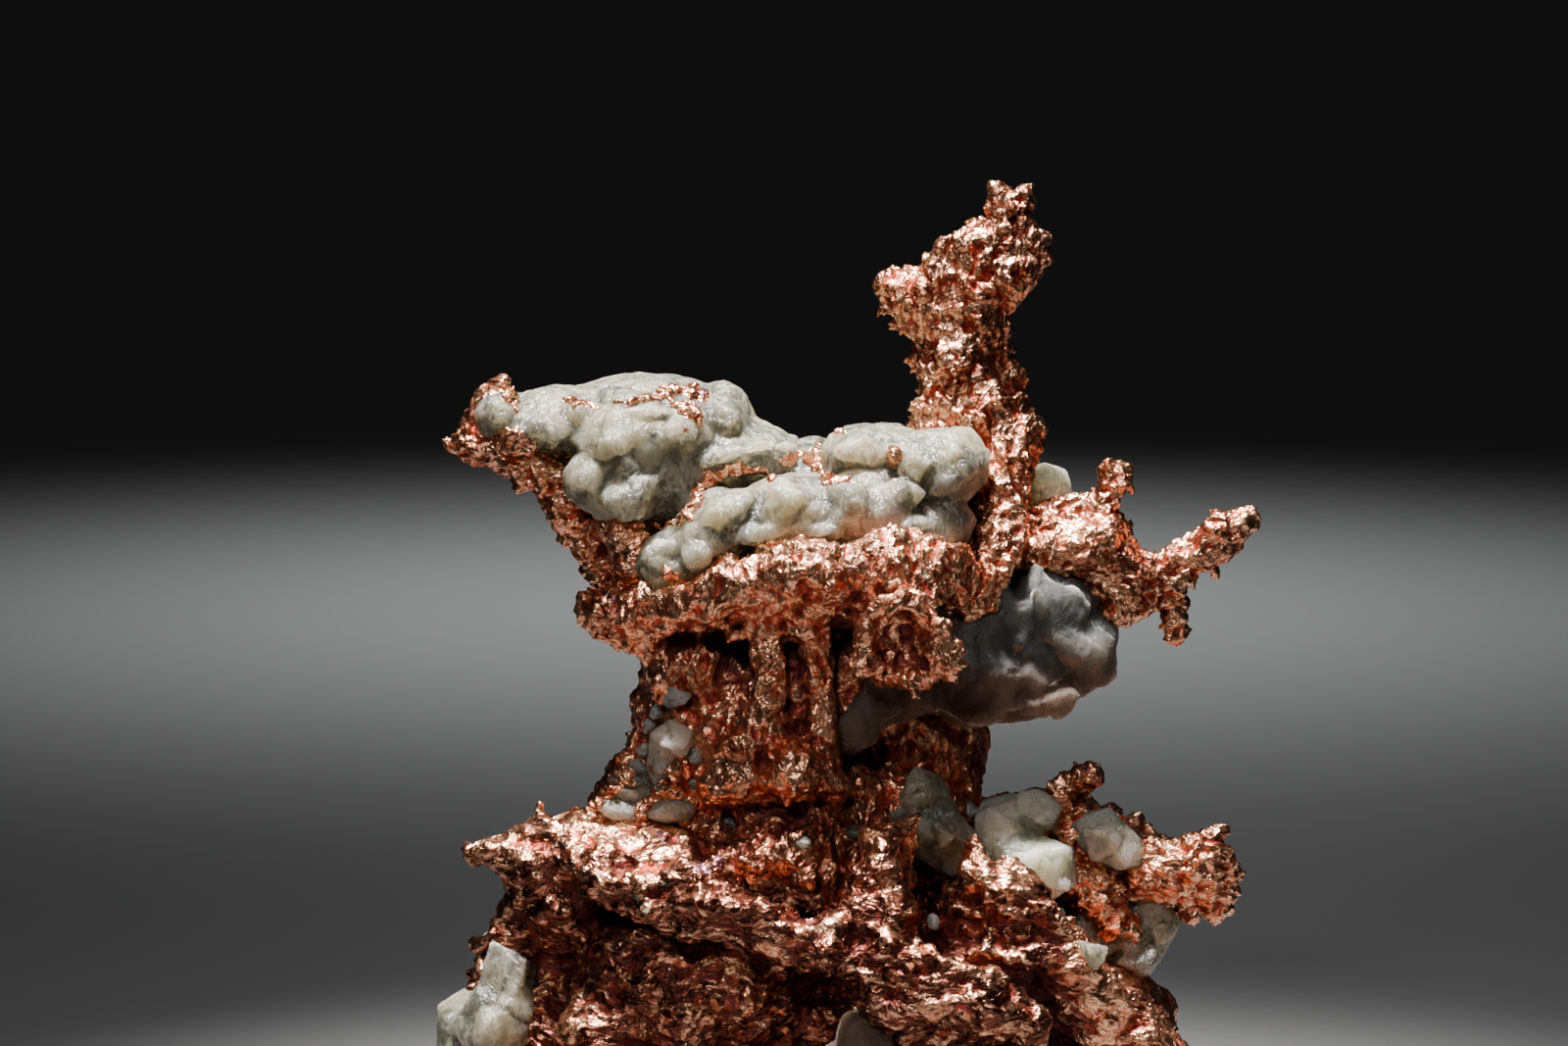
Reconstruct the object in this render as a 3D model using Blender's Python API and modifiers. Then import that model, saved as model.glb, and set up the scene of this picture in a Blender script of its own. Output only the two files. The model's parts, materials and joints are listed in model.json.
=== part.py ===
"""Native copper nugget grown through with prehnite, as closed solids that sit beside each other.

The copper forks: a broad foot carries a trunk with a ledge, and an arm, a spire, a hooked arm and a shoulder
branch off them. Each fork is one solid. Greenish white prehnite fills the hollows and stands out of them in
lumps, and each mass of lumps that grew together is one solid.

The dictionaries are in millimetres. +X is to the right, +Y is away, +Z is up, and the foot stands flat on
Z = 0. A lump is (x, y, z, radius x, radius y, radius z, lean), its lean in degrees about Y, clockwise seen
from the front. A rope is a list of (x, y, z, radius), and a pit is a lump that is hollowed out.
"""

import math

import bmesh
import bpy
from mathutils import Euler, Matrix, Vector

MM = 0.001
MIDDLE = (0.9, 1.4)  # where the middle of the outline lies in the dictionaries' X and Y
GAP = 0.45  # clearance that touching pieces keep
GRAIN = 0.9  # grain at which the lumps and ropes of a form are fused
BALL_DETAIL = 3  # subdivisions of the icosphere that a lump starts from
ROPE_SIDES, ROPE_STEPS = 3, 6  # bevel resolution of a rope, and its steps between two points
SMOOTHING = 3  # rounds of smoothing that take the steps out of a fused form
KNOBS, RIDGES, SWELLS = 5.0, 3.2, 3.0  # grain of the copper's knobs, its ridges and the prehnite's swells
SPARE_FACES = 1.3  # how many more triangles a form has before it is fitted

COPPER_COLOUR = (0.78, 0.36, 0.22, 1.0)
COPPER_ROUGHNESS = 0.34
PREHNITE_ROUGHNESS = 0.42

# The copper, in the order in which it is fitted: a form is trimmed by the forms that it names in "beside".
COPPER = {
    "copper_foot": {
        "lumps": [
            (-1, 3, 9, 38, 25, 16, 0),
            (-3, 3, 24, 27, 18, 14, 0),
            (-25, 1, 24, 9.5, 13, 13, -16),
            (-33, 3, 9, 9, 15, 14, 0),
            (24, 1, 20, 12, 16, 13, 14),
            (32, 0, 9, 10, 14, 13, 0),
            (-17, -7, 42.2, 12, 11, 3.6, 3),
            (-14, -11.5, 30, 12, 8, 9, 0),
            (16.5, -16, 36, 7, 7, 6, 30),
            (10, -12.5, 28, 12, 8, 9, 0),
            (0, 13, 34, 20, 10, 8, 0),
            (-5, -19, 11, 13, 7, 10, 0),
            (13, -20, 12, 12, 7, 10, 0),
            (-21, -15.5, 13, 13, 9, 11, 0),
            (25, -14, 12, 13, 8, 11, 0),
        ],
        "ropes": [
            [(-18, -8, 42, 4.4), (-26, -9, 43.4, 3.6), (-31, -9, 43.4, 2.8), (-36.4, -9, 42.8, 1.2)],
            [(-28, -9, 44, 2), (-28.8, -9, 48.2, 1.1)],
            [(-30, -8, 41, 2.8), (-27, -9, 38, 4)],
            [(-20, -16, 41, 2.4), (-14, -20, 41.6, 2.4), (-9, -20, 42.6, 2.2), (-6, -14, 45, 2.4)],
            [(-16, -20, 39, 2.4), (-10, -23, 39.4, 2.3), (-5, -24.6, 37.4, 2.3)],
            [(-5, -24.6, 37.4, 2.3), (0, -24.6, 37, 2.2), (3.6, -23, 39.6, 2.2)],
            [(4, -19, 46, 2.2), (5, -22.6, 42, 2.4), (6.4, -24.6, 37, 2.8)],
            [(7, -17, 43, 2.6), (6.8, -17, 46, 2.2), (7.6, -17, 48.2, 1.2)],
            [(13.6, -19, 46.2, 1.4), (14.6, -20, 43.4, 2.2), (18.4, -21, 40.2, 2.4), (21.6, -21, 37.8, 2.6)],
            [(21.6, -21, 37.8, 2.6), (24.4, -20, 33.6, 2.8), (26.6, -19, 28, 3)],
            [(5, -24, 31, 2.4), (9, -26, 33.4, 2.2), (13, -26, 31.6, 2.4), (19, -24, 29, 2.6)],
            [(25, -15, 29.5, 3.4), (29, -14, 26.6, 3.6), (33.6, -13, 21.4, 3.8), (38, -11, 14, 3.6)],
            [(-34.2, -8, 31, 2), (-31.8, -9, 35.4, 2.2), (-28.8, -9, 39.4, 2.4)],
            [(-24, -15, 27, 3), (-22, -19, 20, 3), (-23, -22, 11, 3.4), (-22, -23, 3, 4)],
            [(20, -18, 21, 3), (24, -20, 12, 3.4), (24, -21, 3, 4)],
            [(-24, 10, 41, 3), (-12, 18, 40.4, 3.4), (2, 20, 38, 3.2), (14, 18, 37.6, 3.4), (24, 11, 36, 3)],
            [(-31, 14, 20, 4), (-22, 23, 18, 4), (-8, 27, 21, 3.4), (8, 27, 18, 3.8), (26, 20, 19, 4)],
            [(-12, 20, 34, 3), (-15, 24, 26, 3), (-14, 26, 14, 4), (-14, 26, 3, 4)],
            [(20, 18, 30, 3), (24, 21, 20, 3.4), (30, 16, 9, 4)],
        ],
        "pits": [
            (-3, -31, 27, 6.8, 15, 8.6, 8),
            (-5, -19.5, 43.8, 7, 4.2, 3.4, 6),
            (9.4, -13, 41, 3.5, 5, 4, 0),
            (-19, -25, 38, 4.6, 5, 2.2, 0),
            (-25.2, -20, 35, 2.4, 5, 1.8, 0),
            (-13, -28, 15, 4, 7, 8, -20),
            (12, -29, 22, 5, 5, 5, 0),
            (-4, 29, 31, 8, 8, 6, 0),
            (8, 30, 27, 7, 9, 6, 10),
            (-22, 26, 29, 5, 8, 6, 0),
            (2, 32, 11, 9, 8, 6, 0),
            (38, -2, 24, 4, 7, 3, 0),
            (-36, 12, 28, 6, 6, 5, 0),
        ],
        "hackle": 1.3,
        "faces": 2150,
    },
    "copper_trunk": {
        "lumps": [
            (-8.6, -1, 53, 10.4, 11, 13, 0),
            (5, 2, 50, 10, 9, 13, 0),
            (-6, -2, 69, 14.5, 12, 3.8, -7),
            (7, 2, 67, 9.5, 10, 6.5, 0),
            (-3, 6, 60, 11, 6, 12, 0),
            (7.4, -18, 66.4, 4.4, 4, 5.2, -8),
            (-3, -7, 46, 12, 8, 5.4, 0),
            (-4, -12.5, 43.4, 9, 7, 4.4, 0),
        ],
        "ropes": [
            [(-23.4, -6, 68, 1.6), (-18, -11, 68.6, 2), (-10, -16, 71, 2.4), (0, -18, 73, 2.7)],
            [(0, -18, 73, 2.7), (8, -16, 73, 2.8), (12, -11, 71.4, 3)],
            [(-20, -8, 66.6, 1.8), (-11, -12, 68.2, 2), (-2, -14, 69.4, 2.4), (6, -14, 70, 2.6)],
            [(-22, -6, 65, 1.6), (-18, -8, 64.6, 2)],
            [(-17.6, -4, 61, 2), (-17.4, -4, 55.6, 2.2), (-19, -4, 50.6, 2.4), (-21, -4, 46.6, 2.6)],
            [(-6.6, -14.6, 66.4, 1.6), (-6, -15, 61, 1.5), (-6.6, -14.6, 56, 2), (-10, -13.4, 51, 2.4)],
            [(-1.4, -14, 66, 1.6), (-1, -13, 60, 1.6), (-1.6, -12, 55, 2)],
            [(-9, -13, 51.6, 2), (-4, -16, 52.4, 1.8), (1.4, -14.6, 51, 1.6)],
            [(12.4, 2, 57, 2.2), (14.6, 2, 52, 2), (13, 1, 46, 2.4)],
            [(-17, 5, 68, 3), (-8, 12, 69.6, 3.2), (3, 13, 70, 3.2), (12, 7, 70, 3)],
            [(-13, 9, 66, 2.4), (-15.4, 10, 58, 2.6), (-14, 10, 50, 3), (-17, 9, 44, 3.4)],
            [(6, 12, 68, 2.6), (9.6, 11, 60, 2.6), (9, 11, 52, 3), (12, 9, 45, 3)],
        ],
        "pits": [
            (-10.8, -14.6, 61, 3.8, 4.8, 6, 0),
            (-3.7, -16, 60.5, 1.3, 3, 7, 0),
            (6.4, -12, 53.6, 5.4, 7, 4.4, 0),
            (-3, -18, 49.4, 5, 3.6, 1.6, 0),
            (6.8, -23.6, 65.6, 2.9, 3, 3.8, -8),
            (2, 16, 58, 4.6, 6, 8, 0),
            (-8, 16, 55, 3.6, 5, 7, 0),
        ],
        "hackle": 1.0,
        "faces": 1350,
        "beside": ["copper_foot"],
    },
    "copper_left_arm": {
        "lumps": [(-17, 2, 74, 5.5, 6, 4, 40), (-30, -1, 81.4, 6, 5, 1.6, 20)],
        "ropes": [
            [(-15, 2, 67, 4), (-21, 0, 70.4, 3), (-24, -2, 75, 2.6), (-27.4, -3, 79.6, 2.2)],
            [(-27.4, -3, 79.6, 2.2), (-32, -3, 82.6, 1.9), (-37, -3, 84.4, 1)],
            [(-18.4, -5, 69.6, 2.6), (-19.6, -7, 74, 2.6), (-21.6, -7, 76, 1.8)],
            [(-36, -2, 84.4, 1.3), (-35.4, -2, 87, 0.9), (-33.6, -2, 90.2, 0.7), (-33, -2, 88, 1)],
            [(-24, 4, 78, 3), (-27, 6, 81.4, 2), (-31, 6, 83.4, 1.4)],
        ],
        "hackle": 0.7,
        "faces": 520,
        "beside": ["copper_trunk"],
    },
    "copper_spire": {
        "lumps": [
            (18.2, 1, 102, 4.8, 3.8, 3.6, -30),
            (8.2, 0, 98.4, 2.8, 3.2, 2.4, 0),
            (15.2, 0, 85, 6.4, 4.5, 4, 0),
            (12.6, 1, 96.6, 5, 3.8, 3.4, 0),
        ],
        "ropes": [
            [(12, 4, 70, 5), (16, 2, 76, 4), (15.2, 1, 83, 5.2), (14.2, 1, 89, 4.8)],
            [(14.2, 1, 89, 4.8), (14, 1, 94, 4.6), (14, 1, 99, 4.4)],
            [(14, 1, 99, 3.8), (17.4, 1, 103, 3.6), (18.4, 0, 106.4, 2.2), (17.4, 0, 109.4, 1.2)],
            [(18.4, 0, 106, 2.2), (19.4, 0, 108.4, 1.4)],
            [(8.4, 0, 98.6, 2.2), (12.2, 0, 101.4, 1.9), (13.4, 0, 104.8, 1.2)],
            [(11, -1, 86, 1.6), (8, -2, 87.8, 1)],
            [(18, 0, 85, 2.2), (21, 0, 84.4, 1.3)],
            [(18, 0, 82, 2), (20.6, 0, 81.2, 1.2)],
            [(17, -3, 84, 2), (18, -5, 78, 2.4), (16.6, -7, 73, 2.8), (13.6, -9, 69.6, 2.6)],
            [(15, 4, 90, 2), (13, 6, 84, 2.4), (14, 8, 77, 2.6)],
        ],
        "pits": [(12.4, -5, 92.5, 1.6, 2, 3.4, 0)],
        "hackle": 0.8,
        "faces": 760,
        "beside": ["copper_trunk"],
    },
    "copper_right_arm": {
        "lumps": [
            (24.4, -3, 73.4, 5.6, 4, 3.2, 0),
            (29.6, -2, 69.5, 3, 3.4, 4, 10),
            (38.6, -2, 73.4, 4.2, 2.6, 2.1, -36),
        ],
        "ropes": [
            [(16, 2, 72, 4.4), (20, 0, 74, 3.6), (26, -1, 74.6, 3.2), (30, -1, 71.6, 2.4)],
            [(30, -1, 71.6, 2.4), (34, -1, 70.4, 2.2)],
            [(33, -1, 70.2, 2), (38, -2, 73, 2.2), (42.4, -2, 76, 1.8)],
            [(26.4, -1, 75.4, 1.8), (28.4, -1, 78.4, 1.1), (29.4, -1, 80.6, 1.2)],
            [(33, -1, 69, 1.8), (36, -1, 67.2, 1.1), (34.8, -1, 64.2, 0.8)],
            [(31.6, -1, 68.4, 1.2), (32.4, -1, 66.4, 0.8)],
        ],
        "hackle": 0.6,
        "faces": 600,
        "beside": ["copper_trunk", "copper_spire"],
    },
    "copper_right_shoulder": {
        "lumps": [
            (24, 1, 44, 5, 6, 3.6, 18),
            (35, -1, 39.8, 6, 5, 3.4, 6),
            (29, 4, 39, 8, 7, 4, 0),
        ],
        "ropes": [
            [(14, 4, 40, 6), (20, 3, 42, 5), (26, 1, 42, 4.2), (32, 0, 40, 4), (37.6, -2, 39.4, 3.2)],
            [(23.6, 0, 46, 2.4), (26.2, -1, 50, 1)],
            [(36, -2, 42, 2), (39.6, -2, 43.6, 1)],
            [(38, -2, 41, 2.2), (40, -2, 38.4, 2.2), (39.8, -2, 35.2, 1.2)],
            [(26, -5, 38.6, 2.2), (29, -6, 35.6, 2), (31, -6, 34.4, 1.2)],
            [(30, 8, 41, 2.6), (35, 8, 38, 2), (38, 6, 34, 1.4)],
        ],
        "pits": [(35.6, -7, 38.8, 1.8, 4, 1.2, 0)],
        "hackle": 0.7,
        "faces": 640,
        "beside": ["copper_foot", "copper_trunk"],
    },
}

# The prehnite. A form is trimmed by all the copper, and by the prehnite that it names in "beside".
PREHNITE = {
    "prehnite_left_crown": {
        "lumps": [
            (-33, -1, 87, 1.9, 3, 2.6, 0),
            (-27.8, -1, 86.2, 4.8, 5.5, 3.4, -6),
            (-19.6, 2, 87.4, 7.6, 8, 3, -4),
            (-10.8, 2, 86.6, 2.6, 5.5, 3.4, 0),
            (-15.6, -4, 85.6, 3.8, 4, 3.2, 0),
            (-20.6, -6, 84, 4.4, 4, 4.2, 20),
            (-24.6, -7, 81, 2.2, 2.4, 2.3, 0),
            (-20.6, -7, 79.4, 3.8, 3.4, 3.2, -20),
            (-15.6, -3, 80.4, 5, 5, 4.4, 0),
            (-9.6, 0, 82, 6.6, 7, 3.4, -10),
            (-17, 6, 80, 9, 6, 5, 10),
        ],
        "swell": 0.5,
        "faces": 560,
        "colour": (0.62, 0.66, 0.54, 1.0),
    },
    "prehnite_top_slab": {
        "lumps": [
            (-15.8, -9, 72.4, 3.6, 5, 3.4, -40),
            (-11, -10, 75.6, 5, 6, 4, -30),
            (-3.8, -10, 77.4, 6, 7, 4, -12),
            (3.6, -9, 77.6, 5.6, 7, 4, 0),
            (4.4, -4, 83.2, 5, 7, 2.8, -4),
            (11.2, -7, 82.2, 4.8, 5, 3.8, -6),
            (9.6, -8, 76, 5, 5, 2.6, -6),
            (-2, 4, 78, 12, 8, 5.6, 0),
            (6, 8, 77, 5, 5, 5, 0),
        ],
        "swell": 0.5,
        "faces": 560,
        "colour": (0.64, 0.68, 0.58, 1.0),
        "beside": ["prehnite_left_crown"],
    },
    "prehnite_overhang": {
        "lumps": [
            (20.6, -1, 66.6, 7.2, 9, 5.4, 0),
            (14.4, -4, 66, 5, 7, 5, 0),
            (25.2, -2, 63.4, 4.2, 8, 4.4, 10),
            (16, -3, 61, 8, 8, 4.4, 0),
            (21.6, -1, 59.6, 5.8, 7, 3, -20),
            (22, 6, 66, 6, 6, 6, 0),
            (6, -6, 59.4, 7, 5.4, 3.2, 0),
            (1.8, -9, 56, 3, 3.6, 3, 0),
        ],
        "swell": 0.7,
        "faces": 620,
        "colour": (0.50, 0.54, 0.50, 1.0),
    },
    "prehnite_pebble": {
        "lumps": [(22.4, 5, 78.6, 2.8, 3.4, 2.5, 20), (20.6, 9, 76.4, 4, 4, 4, 0)],
        "swell": 0.2,
        "faces": 120,
        "colour": (0.66, 0.66, 0.56, 1.0),
        "beside": ["prehnite_overhang"],
    },
    "prehnite_trunk_crystal": {
        "lumps": [(-15.6, -10, 55, 2.6, 3, 1.9, 10), (-16.6, -8, 52, 2.2, 3, 2.4, 0)],
        "swell": 0.2,
        "faces": 100,
        "colour": (0.64, 0.63, 0.56, 1.0),
    },
    "prehnite_seam": {
        "lumps": [
            (-20.6, -7, 47.4, 4, 5, 2, 6),
            (-15, -10, 48, 3.6, 4, 2, -12),
            (-18, -6, 49.5, 3.4, 4, 1.8, -20),
        ],
        "swell": 0.3,
        "faces": 200,
        "colour": (0.58, 0.62, 0.50, 1.0),
        "beside": ["prehnite_trunk_crystal"],
    },
    "prehnite_shoulder": {
        "lumps": [
            (17.4, -4, 45, 2.6, 3.6, 2.8, 30),
            (21, -3, 46.2, 3.4, 3.4, 2.2, 0),
            (22, -9, 41.8, 3, 3, 3, 40),
            (18.4, -8, 42.4, 2.6, 3, 3.2, -20),
        ],
        "swell": 0.3,
        "faces": 190,
        "colour": (0.66, 0.66, 0.54, 1.0),
    },
    "prehnite_shoulder_crystal": {
        "lumps": [(27.6, -4, 44.4, 2.4, 3, 2.4, 0), (30, -4.6, 42.6, 2.2, 2.6, 1.8, 0)],
        "swell": 0.2,
        "faces": 110,
        "colour": (0.66, 0.67, 0.60, 1.0),
        "beside": ["prehnite_shoulder"],
    },
    "prehnite_hollow": {
        "lumps": [
            (9.4, -9.6, 49, 2.4, 3, 2.6, 20),
            (10.4, -10, 46, 3, 4, 3.2, 0),
            (13, -9, 43, 2.6, 3, 3, 0),
        ],
        "swell": 0.2,
        "faces": 120,
        "colour": (0.56, 0.58, 0.54, 1.0),
        "beside": ["prehnite_shoulder"],
    },
    "prehnite_cave": {
        "lumps": [(3.4, -22, 26, 2.6, 4, 4.4, -10), (1.4, -19, 22, 3.6, 4, 4, 0)],
        "swell": 0.2,
        "faces": 110,
        "colour": (0.50, 0.54, 0.50, 1.0),
    },
    "prehnite_under_shoulder": {
        "lumps": [
            (26.6, -3, 33.8, 2.8, 4, 4.4, 10),
            (31.4, -1, 32.4, 3.4, 5, 3.4, 25),
            (33, -1, 34.8, 3, 4, 2.6, 0),
        ],
        "swell": 0.3,
        "faces": 210,
        "colour": (0.62, 0.64, 0.58, 1.0),
    },
    "prehnite_lower_left": {
        "lumps": [
            (-32.2, -9, 31.4, 2.6, 4, 4.4, 0),
            (-33.6, -2, 30.4, 2.4, 6, 4, 0),
            (-33.6, -11, 26, 3.6, 4, 4, 0),
            (-37, -5, 23.6, 3.4, 5, 4, 0),
            (-37.6, -8, 17, 3.6, 5, 5, 0),
        ],
        "swell": 0.4,
        "faces": 330,
        "colour": (0.62, 0.65, 0.55, 1.0),
    },
    "prehnite_back_foot": {
        "lumps": [
            (8, 22.5, 29, 4.6, 4, 3.8, 0),
            (12.4, 22, 26.6, 3.4, 3.6, 3.2, 0),
            (4, 23.4, 26, 3.4, 3, 2.8, 0),
        ],
        "swell": 0.3,
        "faces": 180,
        "colour": (0.62, 0.65, 0.56, 1.0),
    },
    "prehnite_back_trunk": {
        "lumps": [
            (2.6, 11, 61, 3.6, 4, 3.6, 0),
            (0.6, 11.4, 56, 3.8, 4, 3.6, 10),
            (3.6, 11, 52.6, 3, 3, 2.6, 0),
        ],
        "swell": 0.3,
        "faces": 170,
        "colour": (0.62, 0.65, 0.56, 1.0),
    },
}


def placed(x, y, z):
    """A point of the dictionaries in metres, from the origin under the middle of the outline."""
    return Vector((x - MIDDLE[0], y - MIDDLE[1], z)) * MM


def add_lump(mesh, lump):
    """Adds one ellipsoid to a bmesh."""
    x, y, z, radius_x, radius_y, radius_z, lean = lump
    turn = Euler((0, math.radians(lean), 0)).to_matrix().to_4x4()
    size = Matrix.Diagonal((radius_x * MM, radius_y * MM, radius_z * MM, 1))
    place = Matrix.Translation(placed(x, y, z)) @ turn @ size
    bmesh.ops.create_icosphere(mesh, subdivisions=BALL_DETAIL, radius=1, matrix=place)


def add_rope(mesh, points):
    """Adds one tapering tube with round ends to a bmesh, through points of (x, y, z, radius)."""
    curve = bpy.data.curves.new("rope", "CURVE")
    curve.dimensions = "3D"
    curve.bevel_depth = MM
    curve.bevel_resolution = ROPE_SIDES
    curve.resolution_u = ROPE_STEPS
    curve.use_fill_caps = True
    spline = curve.splines.new("BEZIER")
    spline.bezier_points.add(len(points) - 1)
    for knot, (x, y, z, radius) in zip(spline.bezier_points, points):
        knot.co = placed(x, y, z)
        knot.radius = radius
        knot.handle_left_type = knot.handle_right_type = "AUTO"
    guide = bpy.data.objects.new("rope", curve)
    bpy.context.scene.collection.objects.link(guide)
    tube = bpy.data.meshes.new_from_object(guide.evaluated_get(bpy.context.evaluated_depsgraph_get()))
    mesh.from_mesh(tube)
    bpy.data.objects.remove(guide)
    bpy.data.curves.remove(curve)
    bpy.data.meshes.remove(tube)
    for x, y, z, radius in (points[0], points[-1]):
        add_lump(mesh, (x, y, z, radius, radius, radius, 0))


def new_object(name, mesh, collection):
    """Makes an object of a bmesh."""
    data = bpy.data.meshes.new(name)
    mesh.to_mesh(data)
    mesh.free()
    made = bpy.data.objects.new(name, data)
    collection.objects.link(made)
    return made


def settle(made):
    """Applies the modifiers of an object."""
    graph = bpy.context.evaluated_depsgraph_get()
    data = bpy.data.meshes.new_from_object(made.evaluated_get(graph))
    made.modifiers.clear()
    old, made.data = made.data, data
    data.name = made.name
    bpy.data.meshes.remove(old)


def fuse(made):
    """Makes one skin of the shapes that overlap in an object."""
    remesh = made.modifiers.new("fuse", "REMESH")
    remesh.mode = "VOXEL"
    remesh.voxel_size = GRAIN * MM
    settle(made)


def cut(made, cutter):
    """Takes one closed mesh out of another."""
    boolean = made.modifiers.new("cut", "BOOLEAN")
    boolean.operation = "DIFFERENCE"
    boolean.object = cutter
    settle(made)


def dent(made, kind, grain, height):
    """Moves the surface in and out by a texture of one grain."""
    texture = bpy.data.textures.new(f"{made.name}_{kind.lower()}", kind)
    texture.noise_scale = grain * MM
    displace = made.modifiers.new("dent", "DISPLACE")
    displace.texture = texture
    displace.texture_coords = "LOCAL"
    displace.strength = height * MM
    displace.mid_level = 0.5


def thin_out(made, faces):
    """Reduces an object to about so many triangles."""
    triangles = sum(len(face.vertices) - 2 for face in made.data.polygons)
    decimate = made.modifiers.new("thin_out", "DECIMATE")
    decimate.ratio = min(1, faces / triangles)
    decimate.use_collapse_triangulate = True
    settle(made)


def keep_largest(made):
    """Deletes the loose chips that a cut leaves beside the body."""
    mesh = bmesh.new()
    mesh.from_mesh(made.data)
    unseen, bodies = set(mesh.verts), []
    while unseen:
        body, edge = set(), [unseen.pop()]
        while edge:
            vertex = edge.pop()
            body.add(vertex)
            for link in vertex.link_edges:
                other = link.other_vert(vertex)
                if other in unseen:
                    unseen.discard(other)
                    edge.append(other)
        bodies.append(body)
    bodies.sort(key=len)
    chips = [vertex for body in bodies[:-1] for vertex in body]
    bmesh.ops.delete(mesh, geom=chips, context="VERTS")
    mesh.to_mesh(made.data)
    mesh.free()


def stand_flat(made):
    """Cuts an object off level at Z = 0 and closes it there with one flat face."""
    mesh = bmesh.new()
    mesh.from_mesh(made.data)
    geometry = mesh.verts[:] + mesh.edges[:] + mesh.faces[:]
    bmesh.ops.bisect_plane(mesh, geom=geometry, plane_co=(0, 0, 0), plane_no=(0, 0, 1), clear_inner=True)
    bmesh.ops.holes_fill(mesh, edges=[edge for edge in mesh.edges if edge.is_boundary])
    mesh.to_mesh(made.data)
    mesh.free()


def fused_form(name, form, collection):
    """One closed body from a form's lumps, ropes and pits, before it is fitted to its neighbours."""
    mesh = bmesh.new()
    for lump in form["lumps"]:
        add_lump(mesh, lump)
    for rope in form.get("ropes", []):
        add_rope(mesh, rope)
    made = new_object(name, mesh, collection)
    fuse(made)
    if form.get("pits"):
        hollow = bmesh.new()
        for pit in form["pits"]:
            add_lump(hollow, pit)
        cutter = new_object(name + "_pits", hollow, collection)
        fuse(cutter)
        cut(made, cutter)
        bpy.data.objects.remove(cutter)
        fuse(made)
    smooth = made.modifiers.new("smooth", "SMOOTH")
    smooth.iterations = SMOOTHING
    return made


def hackly(made, height):
    """Breaks a copper surface up into knobs and ridges."""
    dent(made, "VORONOI", KNOBS, 1.6 * height)
    dent(made, "CLOUDS", RIDGES, 1.5 * height)
    settle(made)


def botryoidal(made, height):
    """Gives a prehnite surface its low swells."""
    dent(made, "CLOUDS", SWELLS, 2 * height)
    settle(made)


def fit(made, faces, neighbours):
    """Trims a form by its grown neighbours and brings it to its number of triangles."""
    thin_out(made, SPARE_FACES * faces)
    for neighbour in neighbours:
        cut(made, neighbour)
    keep_largest(made)
    thin_out(made, faces)


def grown(made, collection):
    """A copy of an object that stands out by the clearance, to trim its neighbours with."""
    copy = bpy.data.objects.new(made.name + "_grown", made.data.copy())
    collection.objects.link(copy)
    copy.hide_render = True
    copy.display_type = "WIRE"
    displace = copy.modifiers.new("grow", "DISPLACE")
    displace.mid_level = 0
    displace.strength = GAP * MM
    settle(copy)
    return copy


def paint(made, colour, metallic, roughness):
    """Gives a piece its material."""
    material = bpy.data.materials.new(made.name)
    material.use_nodes = True
    shader = material.node_tree.nodes["Principled BSDF"]
    shader.inputs["Base Color"].default_value = colour
    shader.inputs["Metallic"].default_value = metallic
    shader.inputs["Roughness"].default_value = roughness
    made.data.materials.clear()
    made.data.materials.append(material)


def main():
    """Builds the copper from the foot up, and then the prehnite in its hollows."""
    for old in list(bpy.data.objects):
        bpy.data.objects.remove(old)
    nugget = bpy.data.collections.new("native_copper_nugget")
    cutters = bpy.data.collections.new("cutters")
    for collection in (nugget, cutters):
        bpy.context.scene.collection.children.link(collection)

    fitted = {}
    for name, form in COPPER.items():
        piece = fused_form(name, form, nugget)
        hackly(piece, form["hackle"])
        fit(piece, form["faces"], [fitted[neighbour] for neighbour in form.get("beside", [])])
        if name == "copper_foot":
            stand_flat(piece)
        paint(piece, COPPER_COLOUR, 1.0, COPPER_ROUGHNESS)
        fitted[name] = grown(piece, cutters)

    for name, form in PREHNITE.items():
        piece = fused_form(name, form, nugget)
        botryoidal(piece, form["swell"])
        neighbours = list(COPPER) + form.get("beside", [])
        fit(piece, form["faces"], [fitted[neighbour] for neighbour in neighbours])
        paint(piece, form["colour"], 0.0, PREHNITE_ROUGHNESS)
        fitted[name] = grown(piece, cutters)


main()
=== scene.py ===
import json
import math
import random
import time

import bmesh
import bpy
from mathutils import Euler, Matrix, Vector
from mathutils.bvhtree import BVHTree

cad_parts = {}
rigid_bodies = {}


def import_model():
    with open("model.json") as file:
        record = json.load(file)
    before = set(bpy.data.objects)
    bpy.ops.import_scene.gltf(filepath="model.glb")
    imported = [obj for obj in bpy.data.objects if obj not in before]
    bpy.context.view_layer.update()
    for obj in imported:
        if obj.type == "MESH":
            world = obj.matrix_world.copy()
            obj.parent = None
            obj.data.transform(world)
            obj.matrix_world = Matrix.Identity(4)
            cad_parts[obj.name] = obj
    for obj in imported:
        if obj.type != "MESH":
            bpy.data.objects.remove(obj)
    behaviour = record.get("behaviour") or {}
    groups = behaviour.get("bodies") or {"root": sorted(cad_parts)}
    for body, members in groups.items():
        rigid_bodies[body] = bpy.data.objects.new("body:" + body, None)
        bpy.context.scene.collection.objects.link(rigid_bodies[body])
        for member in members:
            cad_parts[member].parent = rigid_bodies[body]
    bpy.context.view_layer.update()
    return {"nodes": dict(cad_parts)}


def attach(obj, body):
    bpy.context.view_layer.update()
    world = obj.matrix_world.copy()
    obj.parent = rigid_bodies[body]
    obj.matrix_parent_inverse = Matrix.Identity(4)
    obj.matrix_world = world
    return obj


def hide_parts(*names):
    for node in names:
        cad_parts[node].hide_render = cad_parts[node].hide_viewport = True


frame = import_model()
started = time.time()

mm = 0.001
perMetre = 1000.0  # millimetres in a metre
middle = (0.9, 1.4)  # X and Y of the model's origin, in the millimetres of the lists below

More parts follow.
